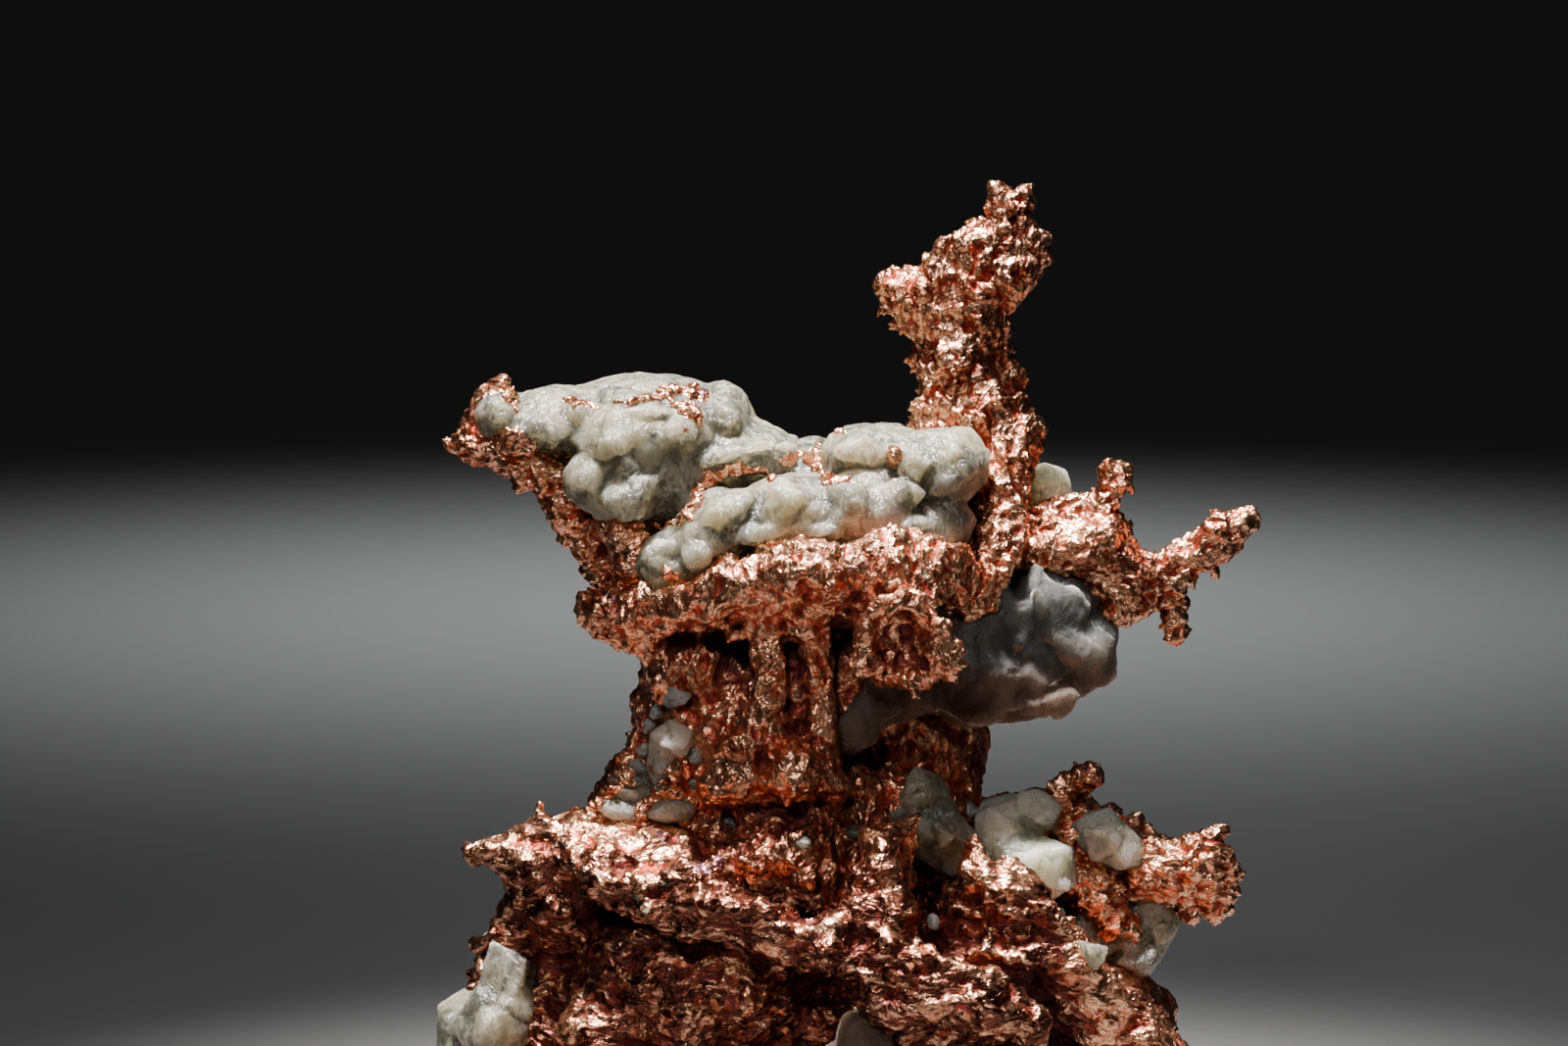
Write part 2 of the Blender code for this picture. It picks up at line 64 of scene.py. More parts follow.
view = {
    "target": (-4.5, 0, 75.65),  # millimetres
    "distance": 0.45,  # metres, like the width that is seen at the target
    "width": 0.16,
    "elevation": 6,  # degrees
    "sensor": 36,
    "nearest": 0.01,
}


def say(words):
    print(f"{time.time() - started:6.1f} s  {words}")


# node graphs: sockets that can be used in sums

class Wire:
    def __init__(self, graph, socket):
        self.graph, self.socket = graph, socket

    def out(self, name):
        return Wire(self.graph, self.socket.node.outputs[name])

    def __add__(self, other):
        return self.graph.maths("ADD", self, other)

    __radd__ = __add__

    def __sub__(self, other):
        return self.graph.maths("SUBTRACT", self, other)

    def __rsub__(self, other):
        return self.graph.maths("SUBTRACT", other, self)

    def __mul__(self, other):
        return self.graph.maths("MULTIPLY", self, other)

    __rmul__ = __mul__

    def __truediv__(self, other):
        return self.graph.maths("DIVIDE", self, other)

    def __rtruediv__(self, other):
        return self.graph.maths("DIVIDE", other, self)


class Graph:
    def __init__(self, tree):
        self.tree = tree

    def node(self, kind, settings=None, values=None, out=0):
        made = self.tree.nodes.new(kind)
        for name, value in (settings or {}).items():
            setattr(made, name, value)
        self.fill(made, values or {})
        return Wire(self, made.outputs[out])

    def fill(self, made, values):
        for name, value in values.items():
            wires = value if isinstance(value, list) else [value]
            if isinstance(wires[0], Wire):
                for wire in wires:
                    self.tree.links.new(wire.socket, made.inputs[name])
            else:
                made.inputs[name].default_value = value

    def maths(self, operation, first, second=0.0):
        return self.node("ShaderNodeMath", {"operation": operation}, {0: first, 1: second})

    def vectors(self, operation, first, second=(0, 0, 0)):
        out = "Value" if operation == "DOT_PRODUCT" else "Vector"
        return self.node("ShaderNodeVectorMath", {"operation": operation}, {0: first, 1: second}, out)

    def scaled(self, vector, factor):
        return self.node("ShaderNodeVectorMath", {"operation": "SCALE"}, {0: vector, "Scale": factor})

    def shifted(self, point, vector, factor):
        return self.vectors("ADD", point, self.scaled(vector, factor))

    def part(self, vector, axis):
        return self.node("ShaderNodeSeparateXYZ", None, {0: vector}, axis)

    def step(self, value, low, high):
        # 0 at the low value, 1 at the high one, which may be the smaller of the two
        values = {"Value": value, "From Min": low, "From Max": high}
        return self.node("ShaderNodeMapRange", {"interpolation_type": "SMOOTHSTEP"}, values)

    def blend(self, factor, first, second):
        settings = {"data_type": "RGBA", "clamp_factor": True}
        return self.node("ShaderNodeMix", settings, {0: factor, 6: first, 7: second}, 2)

    def noise(self, vector, size, detail=2.0, rough=0.5, out="Fac"):
        values = {"Vector": vector, "Scale": 1 / size, "Detail": detail, "Roughness": rough}
        return self.node("ShaderNodeTexNoise", None, values, out)

    def wander(self, vector, size):
        # a smooth vector field that points as often one way as the other, up to about half a unit
        return self.vectors("SUBTRACT", self.noise(vector, size, out="Color"), (0.5, 0.5, 0.5))

    def cells(self, vector, size, out="Distance", feature="F1"):
        # distances are in units of the cell size
        values = {"Vector": vector, "Scale": 1 / size}
        return self.node("ShaderNodeTexVoronoi", {"feature": feature}, values, out)

    def attribute(self, name, out="Fac"):
        return self.node("ShaderNodeAttribute", {"attribute_name": name}, None, out)

    def anyBetween(self, least, most, seed):
        # a random vector for each instance
        values = {0: least, 1: most, "Seed": seed}
        return self.node("FunctionNodeRandomValue", {"data_type": "FLOAT_VECTOR"}, values)


# meshes

def placed(x, y, z):
    return Vector((x - middle[0], y - middle[1], z)) * mm


tilt = math.radians(view["elevation"])
cameraPlace = placed(*view["target"]) + Vector((0, -math.cos(tilt), math.sin(tilt))) * view["distance"]


lumpDetail, beadDetail = 3, 2  # subdivisions of a lump or a pit, and of a small bead


def addLump(mesh, lump, detail):
    x, y, z, sizeX, sizeY, sizeZ, lean = lump
    turn = Euler((0, math.radians(lean), 0)).to_matrix().to_4x4()
    size = Matrix.Diagonal((sizeX * mm, sizeY * mm, sizeZ * mm, 1))
    place = Matrix.Translation(placed(x, y, z)) @ turn @ size
    bmesh.ops.create_icosphere(mesh, subdivisions=detail, radius=1, matrix=place)


def smoothly(a, b, c, d, t):
    # the value at t from b to c, on a smooth curve that also passes through a and d
    square = (2 * a - 5 * b + 4 * c - d) * t**2
    cube = (3 * b - a - 3 * c + d) * t**3
    return 0.5 * (2 * b + (c - a) * t + square + cube)


def addRope(mesh, points, stride=0.6, least=0.25):
    # beads along a smooth curve through points of (x, y, z, radius), close enough to fuse
    knots = [points[0], *points, points[-1]]
    for before, start, end, after in zip(knots, knots[1:], knots[2:], knots[3:]):
        length = math.dist(start[:3], end[:3])
        steps = max(1, round(length / (stride * max(least, min(start[3], end[3])))))
        for step in range(steps + 1):
            four = zip(before, start, end, after)
            x, y, z, radius = (smoothly(a, b, c, d, step / steps) for a, b, c, d in four)
            addLump(mesh, (x, y, z, radius, radius, radius, 0), beadDetail)


def meshObject(name, mesh):
    data = bpy.data.meshes.new(name)
    mesh.to_mesh(data)
    mesh.free()
    made = bpy.data.objects.new(name, data)
    bpy.context.scene.collection.objects.link(made)
    return made


def opened(*things):
    mesh = bmesh.new()
    for thing in things:
        mesh.from_mesh(thing.data)
    return mesh


def closed(mesh, made):
    mesh.to_mesh(made.data)
    mesh.free()


def addShapes(made, lumps, ropes):
    mesh = opened(made)
    for lump in lumps:
        addLump(mesh, lump, lumpDetail)
    for rope in ropes:
        addRope(mesh, rope)
    closed(mesh, made)


def settle(made):
    # applies what modifiers an object has
    data = bpy.data.meshes.new_from_object(made.evaluated_get(bpy.context.evaluated_depsgraph_get()))
    made.modifiers.clear()
    old, made.data = made.data, data
    data.name = made.name
    bpy.data.meshes.remove(old)


def fuse(made, grain):
    remesh = made.modifiers.new("fuse", "REMESH")
    remesh.mode = "VOXEL"
    remesh.voxel_size = grain * mm
    settle(made)


def soften(made, rounds):
    smooth = made.modifiers.new("soften", "SMOOTH")
    smooth.iterations = rounds
    settle(made)


def carve(made, pits, grain):
    hollow = bmesh.new()
    for pit in pits:
        addLump(hollow, pit, lumpDetail)
    cutter = meshObject("pits", hollow)
    fuse(cutter, grain)
    boolean = made.modifiers.new("carve", "BOOLEAN")
    boolean.operation = "DIFFERENCE"
    boolean.object = cutter
    settle(made)
    bpy.data.objects.remove(cutter)
    fuse(made, grain)


def trianglesOf(made):
    return sum(len(face.vertices) - 2 for face in made.data.polygons)


def thinOut(made, triangles):
    count = trianglesOf(made)
    if count > triangles:
        decimate = made.modifiers.new("thin", "DECIMATE")
        decimate.ratio = triangles / count
        decimate.use_collapse_triangulate = True
        settle(made)


def standFlat(made):
    mesh = opened(made)
    geometry = mesh.verts[:] + mesh.edges[:] + mesh.faces[:]
    bmesh.ops.bisect_plane(mesh, geom=geometry, plane_co=(0, 0, 0), plane_no=(0, 0, 1), clear_inner=True)
    bmesh.ops.holes_fill(mesh, edges=[edge for edge in mesh.edges if edge.is_boundary])
    closed(mesh, made)


def dropCrumbs(made, least):
    # takes away the loose crumbs of a remesh, which have fewer corners than the least
    mesh = opened(made)
    seen, crumbs = set(), []
    for vertex in mesh.verts:
        body = [] if vertex in seen else [vertex]
        seen.add(vertex)
        for here in body:  # the list grows until the whole body is in it
            for link in here.link_edges:
                other = link.other_vert(here)
                if other not in seen:
                    seen.add(other)
                    body.append(other)
        if len(body) < least:
            crumbs += body
    bmesh.ops.delete(mesh, geom=crumbs, context="VERTS")
    closed(mesh, made)


def surfaceTree(things):
    mesh = opened(*things)
    tree = BVHTree.FromBMesh(mesh)
    mesh.free()
    return tree


def inFront(tree, x, z):
    # where the camera's line through (x, z) of the middle plane meets a surface, back in millimetres,
    # with the direction of the line and the surface's normal
    aim = (placed(x, 0, z) - cameraPlace).normalized()
    hit, normal, _, _ = tree.ray_cast(cameraPlace, aim)
    if hit is None:
        return None
    return Vector((hit.x / mm + middle[0], hit.y / mm + middle[1], hit.z / mm)), aim, normal


def crystal(chance, centre, size, lean, corners, reach=(0.88, 1.08)):
    # the hull of a few random points round a centre
    turn = Euler((0, math.radians(lean), 0)).to_matrix()
    hull = bmesh.new()
    for _ in range(corners):
        point = Vector([chance.gauss(0, 1) for _ in range(3)]).normalized() * chance.uniform(*reach)
        point = turn @ Vector([part * half for part, half in zip(point, size)])
        hull.verts.new(placed(*centre) + point * mm)
    inner = bmesh.ops.convex_hull(hull, input=hull.verts)["geom_interior"]
    bmesh.ops.delete(hull, geom=inner, context="VERTS")
    data = bpy.data.meshes.new("crystal")
    hull.to_mesh(data)
    hull.free()
    return data


def addCrystals(made, crystals, tree, sunk, corners):
    # crystals (x, z, half width, half height, lean) that stand out of the side towards the camera
    mesh = opened(made)
    for number, (x, z, wide, high, lean) in enumerate(crystals):
        found = inFront(tree, x, z)
        if found:
            deep = (wide + high) / 2
            centre = found[0] + found[1] * deep * sunk
            data = crystal(random.Random(number), centre, (wide, deep, high), lean, corners)
            mesh.from_mesh(data)
            bpy.data.meshes.remove(data)
    closed(mesh, made)


formDefaults = {
    "grow": 0.1, "soften": 4,  # how far the solid swells, and rounds of smoothing after it is fused
    "lumps": [], "ropes": [], "pits": [], "pitSoften": 2,
    "planes": 0, "blunt": 1,  # flat faces to thin the form to, and rounds of smoothing on their edges
    "spikes": [],  # thin points and crests, which softening would take away
    "bosses": [], "sunk": 0.3, "bossCorners": 26, "bossSoften": 1,
    "blocks": [], "blockSunk": 0.25, "blockCorners": 14,
}


def formOf(form, others=()):
    # a copy of the node's solid, with the form's own shapes fused in; blocks also stand on the others
    form = {**formDefaults, **form}
    grain = form["grain"]
    mesh = opened(frame["nodes"][form["node"]])
    bmesh.ops.remove_doubles(mesh, verts=mesh.verts, dist=1e-6)
    made = meshObject(form["name"], mesh)
    grow = made.modifiers.new("grow", "DISPLACE")
    grow.mid_level, grow.strength = 0, form["grow"] * mm
    settle(made)
    if form["lumps"] or form["ropes"]:
        addShapes(made, form["lumps"], form["ropes"])
    fuse(made, grain)
    soften(made, form["soften"])
    if form["pits"]:
        carve(made, form["pits"], grain)
        soften(made, form["pitSoften"])
    if form["planes"]:
        thinOut(made, form["planes"])
        fuse(made, grain)
        soften(made, form["blunt"])
    if form["spikes"]:
        addShapes(made, [], form["spikes"])
        fuse(made, grain)
    if form["bosses"]:
        addCrystals(made, form["bosses"], surfaceTree([made]), form["sunk"], form["bossCorners"])
        fuse(made, grain)
        soften(made, form["bossSoften"])
    if form["blocks"]:
        ground = surfaceTree([made, *others])
        addCrystals(made, form["blocks"], ground, form["blockSunk"], form["blockCorners"])
        fuse(made, grain)
    return made


# geometry nodes

broadRatio = 2.4  # size of the copper's broad scoops, against its scoops
# taken off scoops and wrinkles, so that a skin grows about as much as it shrinks
scoopLevel = 0.35
wrinkleLevel = 0.4
bends = {"copper": (5.0, 5.0), "prehnite": (4.0, 3.0)}  # size of a bend, and how far it moves a point
hollowRounds = {"hollow": 14, "deep": 90}  # rounds of blurring that hollows are measured against
shelterReach = {"copper": 16, "prehnite": 6}


def newTree(name, sizes):
    # a tree whose named inputs are its sizes, a flow, a seed and a material
    inputs = {"Geometry": "Geometry", "Flow": "Vector", "Seed": "Int", "Material": "Material"}
    inputs.update({title: "Float" for title in sizes})
    tree = bpy.data.node_groups.new(name, "GeometryNodeTree")
    for title, kind in inputs.items():
        tree.interface.new_socket(title, in_out="INPUT", socket_type=f"NodeSocket{kind}")
    tree.interface.new_socket("Geometry", in_out="OUTPUT", socket_type="NodeSocketGeometry")
    graph = Graph(tree)
    return graph, graph.node("NodeGroupInput")


def endTree(graph, source, geometry):
    real = graph.node("GeometryNodeRealizeInstances", None, {"Geometry": geometry})
    painted = graph.node("GeometryNodeSetMaterial", None, {
        "Geometry": real, "Material": source.out("Material")})
    graph.tree.links.new(painted.socket, graph.tree.nodes.new("NodeGroupOutput").inputs["Geometry"])


def dress(made, graph, values):
    # runs a tree on an object, with its named inputs, and keeps the plain mesh
    modifier = made.modifiers.new(graph.tree.name, "NODES")
    modifier.node_group = graph.tree
    for item in graph.tree.interface.items_tree:
        if item.item_type == "SOCKET" and item.in_out == "INPUT" and item.name in values:
            modifier[item.identifier] = values[item.name]
    settle(made)


def surfaceOf(graph, source, seedStep=(17.3, 5.1)):
    # position in millimetres, moved on by the seed so that no two pieces share a pattern, and the normal
    position = graph.scaled(graph.node("GeometryNodeInputPosition"), perMetre)
    seed = source.out("Seed")
    shift = graph.node("ShaderNodeCombineXYZ", None, {"X": seed * seedStep[0], "Y": seed * seedStep[1]})
    return graph.vectors("ADD", position, shift), graph.node("GeometryNodeInputNormal")


def offFloor(graph, fullHeight=3.0):
    # 0 on the underside of the foot, 1 from a little above it
    height = graph.part(graph.node("GeometryNodeInputPosition"), "Z")
    return graph.step(height * perMetre, 0.0, fullHeight)


def pushed(graph, geometry, normal, height, sideways=None):
    # moves points along the normal, and sideways by a vector, both in millimetres
    mask = offFloor(graph)
    move = graph.scaled(normal, height)
    if sideways is not None:
        move = graph.vectors("ADD", move, sideways)
    return graph.node("GeometryNodeSetPosition", None, {
        "Geometry": geometry, "Offset": graph.scaled(move, mask * mm)})


def facets(graph, point, size, tilt):
    # plane faces of one size, each leaning its own way, so that they meet in sharp edges
    middleOfFace = graph.cells(point, size, out="Position")
    lean = graph.vectors("SUBTRACT", graph.cells(point, size, out="Color"), (0.5, 0.5, 0.5))
    return graph.vectors("DOT_PRODUCT", graph.vectors("SUBTRACT", point, middleOfFace), lean) * tilt


def scoops(graph, point, size, rise=1.6):
    # hollows side by side, with sharp ridges between them: 0 in a hollow, about 1 on a ridge
    near = graph.cells(point, size)
    return near * near * rise


def ridgeOf(graph, broad):
    # 1 along the ridges between broad scoops, 0 inside them
    return graph.step(broad, 0.25, 0.6)


def offCrease(graph, point, size, sharpness, detail=2, rough=0.5):
    # 0 along winding lines, 1 away from them
    winding = graph.noise(point, size, detail, rough) - 0.5
    return graph.maths("MINIMUM", graph.maths("ABSOLUTE", winding) * sharpness, 1.0)


def wrinkles(graph, point, size):
    # thin ridges: 1 along a ridge, down to 0 between two
    return 1 - offCrease(graph, point, size, 7.0)


def pillows(graph, point, size, roundness=3.2):
    # plates that round off to a crease between them: 0 in the crease, 1 on the plate
    border = graph.cells(point, size, feature="DISTANCE_TO_EDGE")
    near = graph.maths("MINIMUM", border * roundness, 1.0)
    return 1 - graph.maths("POWER", 1 - near, 2.0)


def drawnOut(graph, source, point, size, strength):
    # the place of a point in a pattern that is bent about and drawn out along the piece's flow, and the bend
    bend = graph.wander(point, size)
    return graph.vectors("MULTIPLY", graph.shifted(point, bend, strength), source.out("Flow")), bend


def kept(graph, geometry, name, value, kind="FLOAT"):
    return graph.node("GeometryNodeStoreNamedAttribute", {"data_type": kind, "domain": "POINT"}, {
        "Geometry": geometry, "Name": name, "Value": value})


def blurred(graph, value, kind, rounds):
    values = {"Value": value, "Iterations": rounds}
    return graph.node("GeometryNodeBlurAttribute", {"data_type": kind}, values)


def withHollows(graph, geometry):
    # keeps how far each point lies in a hollow, in millimetres, at a fine and at a broad scale
    for name, rounds in hollowRounds.items():
        position = graph.node("GeometryNodeInputPosition")
        rise = graph.vectors("SUBTRACT", blurred(graph, position, "FLOAT_VECTOR", rounds), position)
        depth = graph.vectors("DOT_PRODUCT", rise, graph.node("GeometryNodeInputNormal")) * perMetre
        geometry = kept(graph, geometry, name, depth)
    return geometry


def withShelter(graph, geometry, reach, clearance=0.4, spread=0.9):
    # keeps how far the surface closes each point in, by rays cast out of it: 0 in the open, 1 in a deep cave
    position, normal = graph.node("GeometryNodeInputPosition"), graph.node("GeometryNodeInputNormal")
    start = graph.shifted(position, normal, clearance * mm)
    leans = [(0, 0, 0)]
    for axis in range(3):
        for side in (-spread, spread):
            leans.append(tuple(side if axis == number else 0 for number in range(3)))
    total = 0.0
    for lean in leans:
        aim = graph.vectors("NORMALIZE", graph.vectors("ADD", normal, lean))
        met = graph.node("GeometryNodeRaycast", None, {
            "Target Geometry": geometry, "Source Position": start, "Ray Direction": aim,
            "Ray Length": reach * mm})
        total = met * (1 - met.out("Hit Distance") / (reach * mm)) + total
    return kept(graph, geometry, "shelter", blurred(graph, total / len(leans), "FLOAT", 3))


def endSkin(graph, source, skin, reach):
    endTree(graph, source, withShelter(graph, withHollows(graph, skin), reach))


nodules = {
    "radius": 1.1, "density": 3e6,
    "least": (0.4, 0.4, 0.7), "most": (1.1, 1.1, 2.6),  # stretch of a nodule
    "leanLeast": (-0.8, -0.8, 0.0), "leanMost": (0.8, 0.8, 6.28),  # its lean and turn, in radians
    "clumpSize": 4.0, "clumps": (0.50, 0.64),
}


def crumpleTree():
    # scoops, folds, chips and nodules of bare copper
    graph, source = newTree("crumple", (
        "Scoop size", "Scoop height", "Fold size", "Fold height", "Chip size", "Chip tilt", "Swirl",
        "Nodule spacing", "Nodule size"))
    given = source.out
    seed, scoopHeight = given("Seed"), given("Scoop height")
    point, normal = surfaceOf(graph, source)
    bent, bend = drawnOut(graph, source, point, *bends["copper"])
    broad = scoops(graph, bent, given("Scoop size") * broadRatio)
    ridge = ridgeOf(graph, broad)
    near = scoops(graph, bent, given("Scoop size"))
    scoop = (near - scoopLevel) * scoopHeight * (ridge * 0.6 + 0.6)
    fold = (wrinkles(graph, bent, given("Fold size")) - wrinkleLevel) * given("Fold height")
    fold = fold * (1.2 - ridge * 0.7)
    chipTilt = given("Chip tilt") * ridge
    chip = facets(graph, graph.shifted(point, bend, 2.0), given("Chip size"), chipTilt)
    height = scoop + (broad - scoopLevel) * scoopHeight * 1.5 + fold + chip
    skin = pushed(graph, source, normal, height, graph.scaled(bend, given("Swirl")))

    clumps = graph.step(graph.noise(point, nodules["clumpSize"]), *nodules["clumps"])
    spots = graph.node("GeometryNodeDistributePointsOnFaces", {"distribute_method": "POISSON"}, {
        "Mesh": skin, "Distance Min": given("Nodule spacing") * mm, "Density Max": nodules["density"],
        "Density Factor": (ridge * 0.9 + 0.1) * clumps * offFloor(graph), "Seed": seed})
    bead = graph.node("GeometryNodeMeshIcoSphere", None, {
        "Radius": nodules["radius"] * mm, "Subdivisions": 1})
    stretch = graph.anyBetween(nodules["least"], nodules["most"], seed)
    lean = graph.anyBetween(nodules["leanLeast"], nodules["leanMost"], seed + 5)
    leaning = graph.node("FunctionNodeRotateRotation", {"rotation_space": "LOCAL"}, {
        "Rotation": spots.out("Rotation"), "Rotate By": lean})
    beads = graph.node("GeometryNodeInstanceOnPoints", None, {
        "Points": spots, "Instance": bead, "Rotation": leaning,
        "Scale": graph.scaled(stretch, given("Nodule size"))})
    endTree(graph, source, graph.node("GeometryNodeJoinGeometry", None, {"Geometry": [skin, beads]}))
    return graph


def grainTree():
    # the finest chips, scoops and growth ribs of the copper
    graph, source = newTree("grain", (
        "Scoop size", "Scoop height", "Chip size", "Chip tilt", "Rib size", "Rib height", "Broad size"))
    given = source.out
    point, normal = surfaceOf(graph, source)
    bent, bend = drawnOut(graph, source, point, *bends["copper"])
    ridge = ridgeOf(graph, scoops(graph, bent, given("Broad size")))
    fine = (scoops(graph, bent, given("Scoop size")) - scoopLevel) * given("Scoop height")
    chipTilt = given("Chip tilt") * (ridge * 0.8 + 0.2)
    chip = facets(graph, graph.shifted(point, bend, 3.0), given("Chip size"), chipTilt)
    ribs = (wrinkles(graph, bent, given("Rib size")) - wrinkleLevel) * given("Rib height")
    skin = pushed(graph, source, normal, fine + chip + ribs * (1.2 - ridge))
    skin = kept(graph, skin, "flow", bent, "FLOAT_VECTOR")
    skin = kept(graph, skin, "ridge", ridge)
    endSkin(graph, source, skin, shelterReach["copper"])
    return graph


def botryoidTree():
    # plates of prehnite that meet in creases, each leaning its own way, with a scaly skin
    graph, source = newTree("botryoid", (
        "Plate size", "Plate height", "Plate tilt", "Chip size", "Chip height", "Scale size", "Scale height"))
    given = source.out
    plateSize, plateTilt = given("Plate size"), given("Plate tilt")
    point, normal = surfaceOf(graph, source)
    bent, _ = drawnOut(graph, source, point, *bends["prehnite"])
    plates = pillows(graph, bent, plateSize)
    lean = facets(graph, bent, plateSize, plateTilt)
    chips = pillows(graph, bent, given("Chip size")) * given("Chip height")
    chipLean = facets(graph, bent, given("Chip size"), plateTilt * 0.8)
    scales = 0.5 - offCrease(graph, bent, given("Scale size"), 5.0, 3, 0.6)
    scales = scales * given("Scale height")
    height = (plates - 0.75) * given("Plate height") + lean + chips + chipLean + scales
    skin = pushed(graph, source, normal, height)
    skin = kept(graph, skin, "crease", 1 - plates)
    skin = kept(graph, skin, "tone", graph.part(graph.cells(bent, plateSize, out="Color"), "X"))
    endSkin(graph, source, skin, shelterReach["prehnite"])
    return graph


# finishes

def newMaterial(name):
    material = bpy.data.materials.new(name)
    material.use_nodes = True
    graph = Graph(material.node_tree)
    graph.shader = material.node_tree.nodes["Principled BSDF"]
    return material, graph


def bumpOf(graph, height):
    # height in millimetres
    return graph.node("ShaderNodeBump", None, {"Strength": 1.0, "Distance": 1.0, "Height": height * mm})


def objectPoint(graph):
    return graph.scaled(graph.node("ShaderNodeTexCoord", None, None, "Object"), perMetre)


def facingUp(graph):
    return graph.part(graph.node("ShaderNodeNewGeometry", None, None, "Normal"), "Z")


def cloudsOf(graph, point, look):
    # broad, middling and fine clouds
    broad = graph.noise(point, look["broadSize"], 3)
    middling = graph.noise(point, look["middlingSize"], 4, 0.6)
    return broad, middling, graph.noise(point, look["fineSize"], 3, 0.6)


def layered(graph, look, ground, layers):
    # lays tones over a ground colour, each as far as its mask says
    colour = look[ground]
    for tone, mask in layers.items():
        colour = graph.blend(mask, colour, look[tone])
    return colour


# a range is where a tone's pattern begins and where it is full; sizes and heights are in millimetres
copperFinish = {
    "bright": (0.93, 0.47, 0.28, 1), "warm": (0.56, 0.13, 0.055, 1), "oxide": (0.42, 0.040, 0.018, 1),
    # patina is laid on partly as painted shade, and dark is a painted shade colour for caves and hollows
    "patinaAndPaintedShade": (0.085, 0.018, 0.013, 1), "dark": (0.095, 0.014, 0.010, 1), "tarnish": (0.16, 0.10, 0.26, 1),
    "green": (0.14, 0.26, 0.17, 1), "polish": 0.18,
    "warmRange": (0.62, 1.02), "oxideRange": (0.02, 0.18), "patinaRange": (0.50, 0.66),
    "darkRange": (0.20, 0.46), "tarnishRange": (0.66, 0.72), "greenRange": (0.68, 0.71),
    "oxideShare": 0.92, "darkShare": 0.86, "tarnishShare": 0.7, "greenShare": 0.8,
    "broadSize": 9, "middlingSize": 2.0, "fineSize": 0.5,
    "patinaSize": 5, "tarnishSize": 6, "greenSize": 1.3, "greenPatches": 11,
    "footHeights": (50, 39), "footSides": (27, 20),  # Z and X between which the patina and painted shade of the lower foot come in
    # the shelf behind the front crest, darkened by painted shade
    "saddleTop": (50, 46), "saddleBase": (39.4, 41), "saddleLeft": (-17, -11), "saddleRight": (14, 8),
    "steep": (0.75, 0.15), "raised": (-0.1, -0.9),  # the patina and painted shade come in on steep sides and keep off raised crests
    "glintSize": 0.55, "glintRange": (0.62, 0.72),  # faces that the patina and painted shade leave bright
    "bendSize": 1.6, "bend": 0.8, "fineHeight": 0.03,
    "cupSize": 0.9, "cupHeight": 0.11, "dimpleSize": 0.42, "dimpleHeight": 0.05,
    "ribSize": 0.55, "ribHeight": 0.045, "hackleSize": 2.6, "hackleRange": (0.42, 0.58),
    "chipSize": 0.75, "chipTilt": 0.35, "gritSize": 0.38, "gritTilt": 0.2,
}


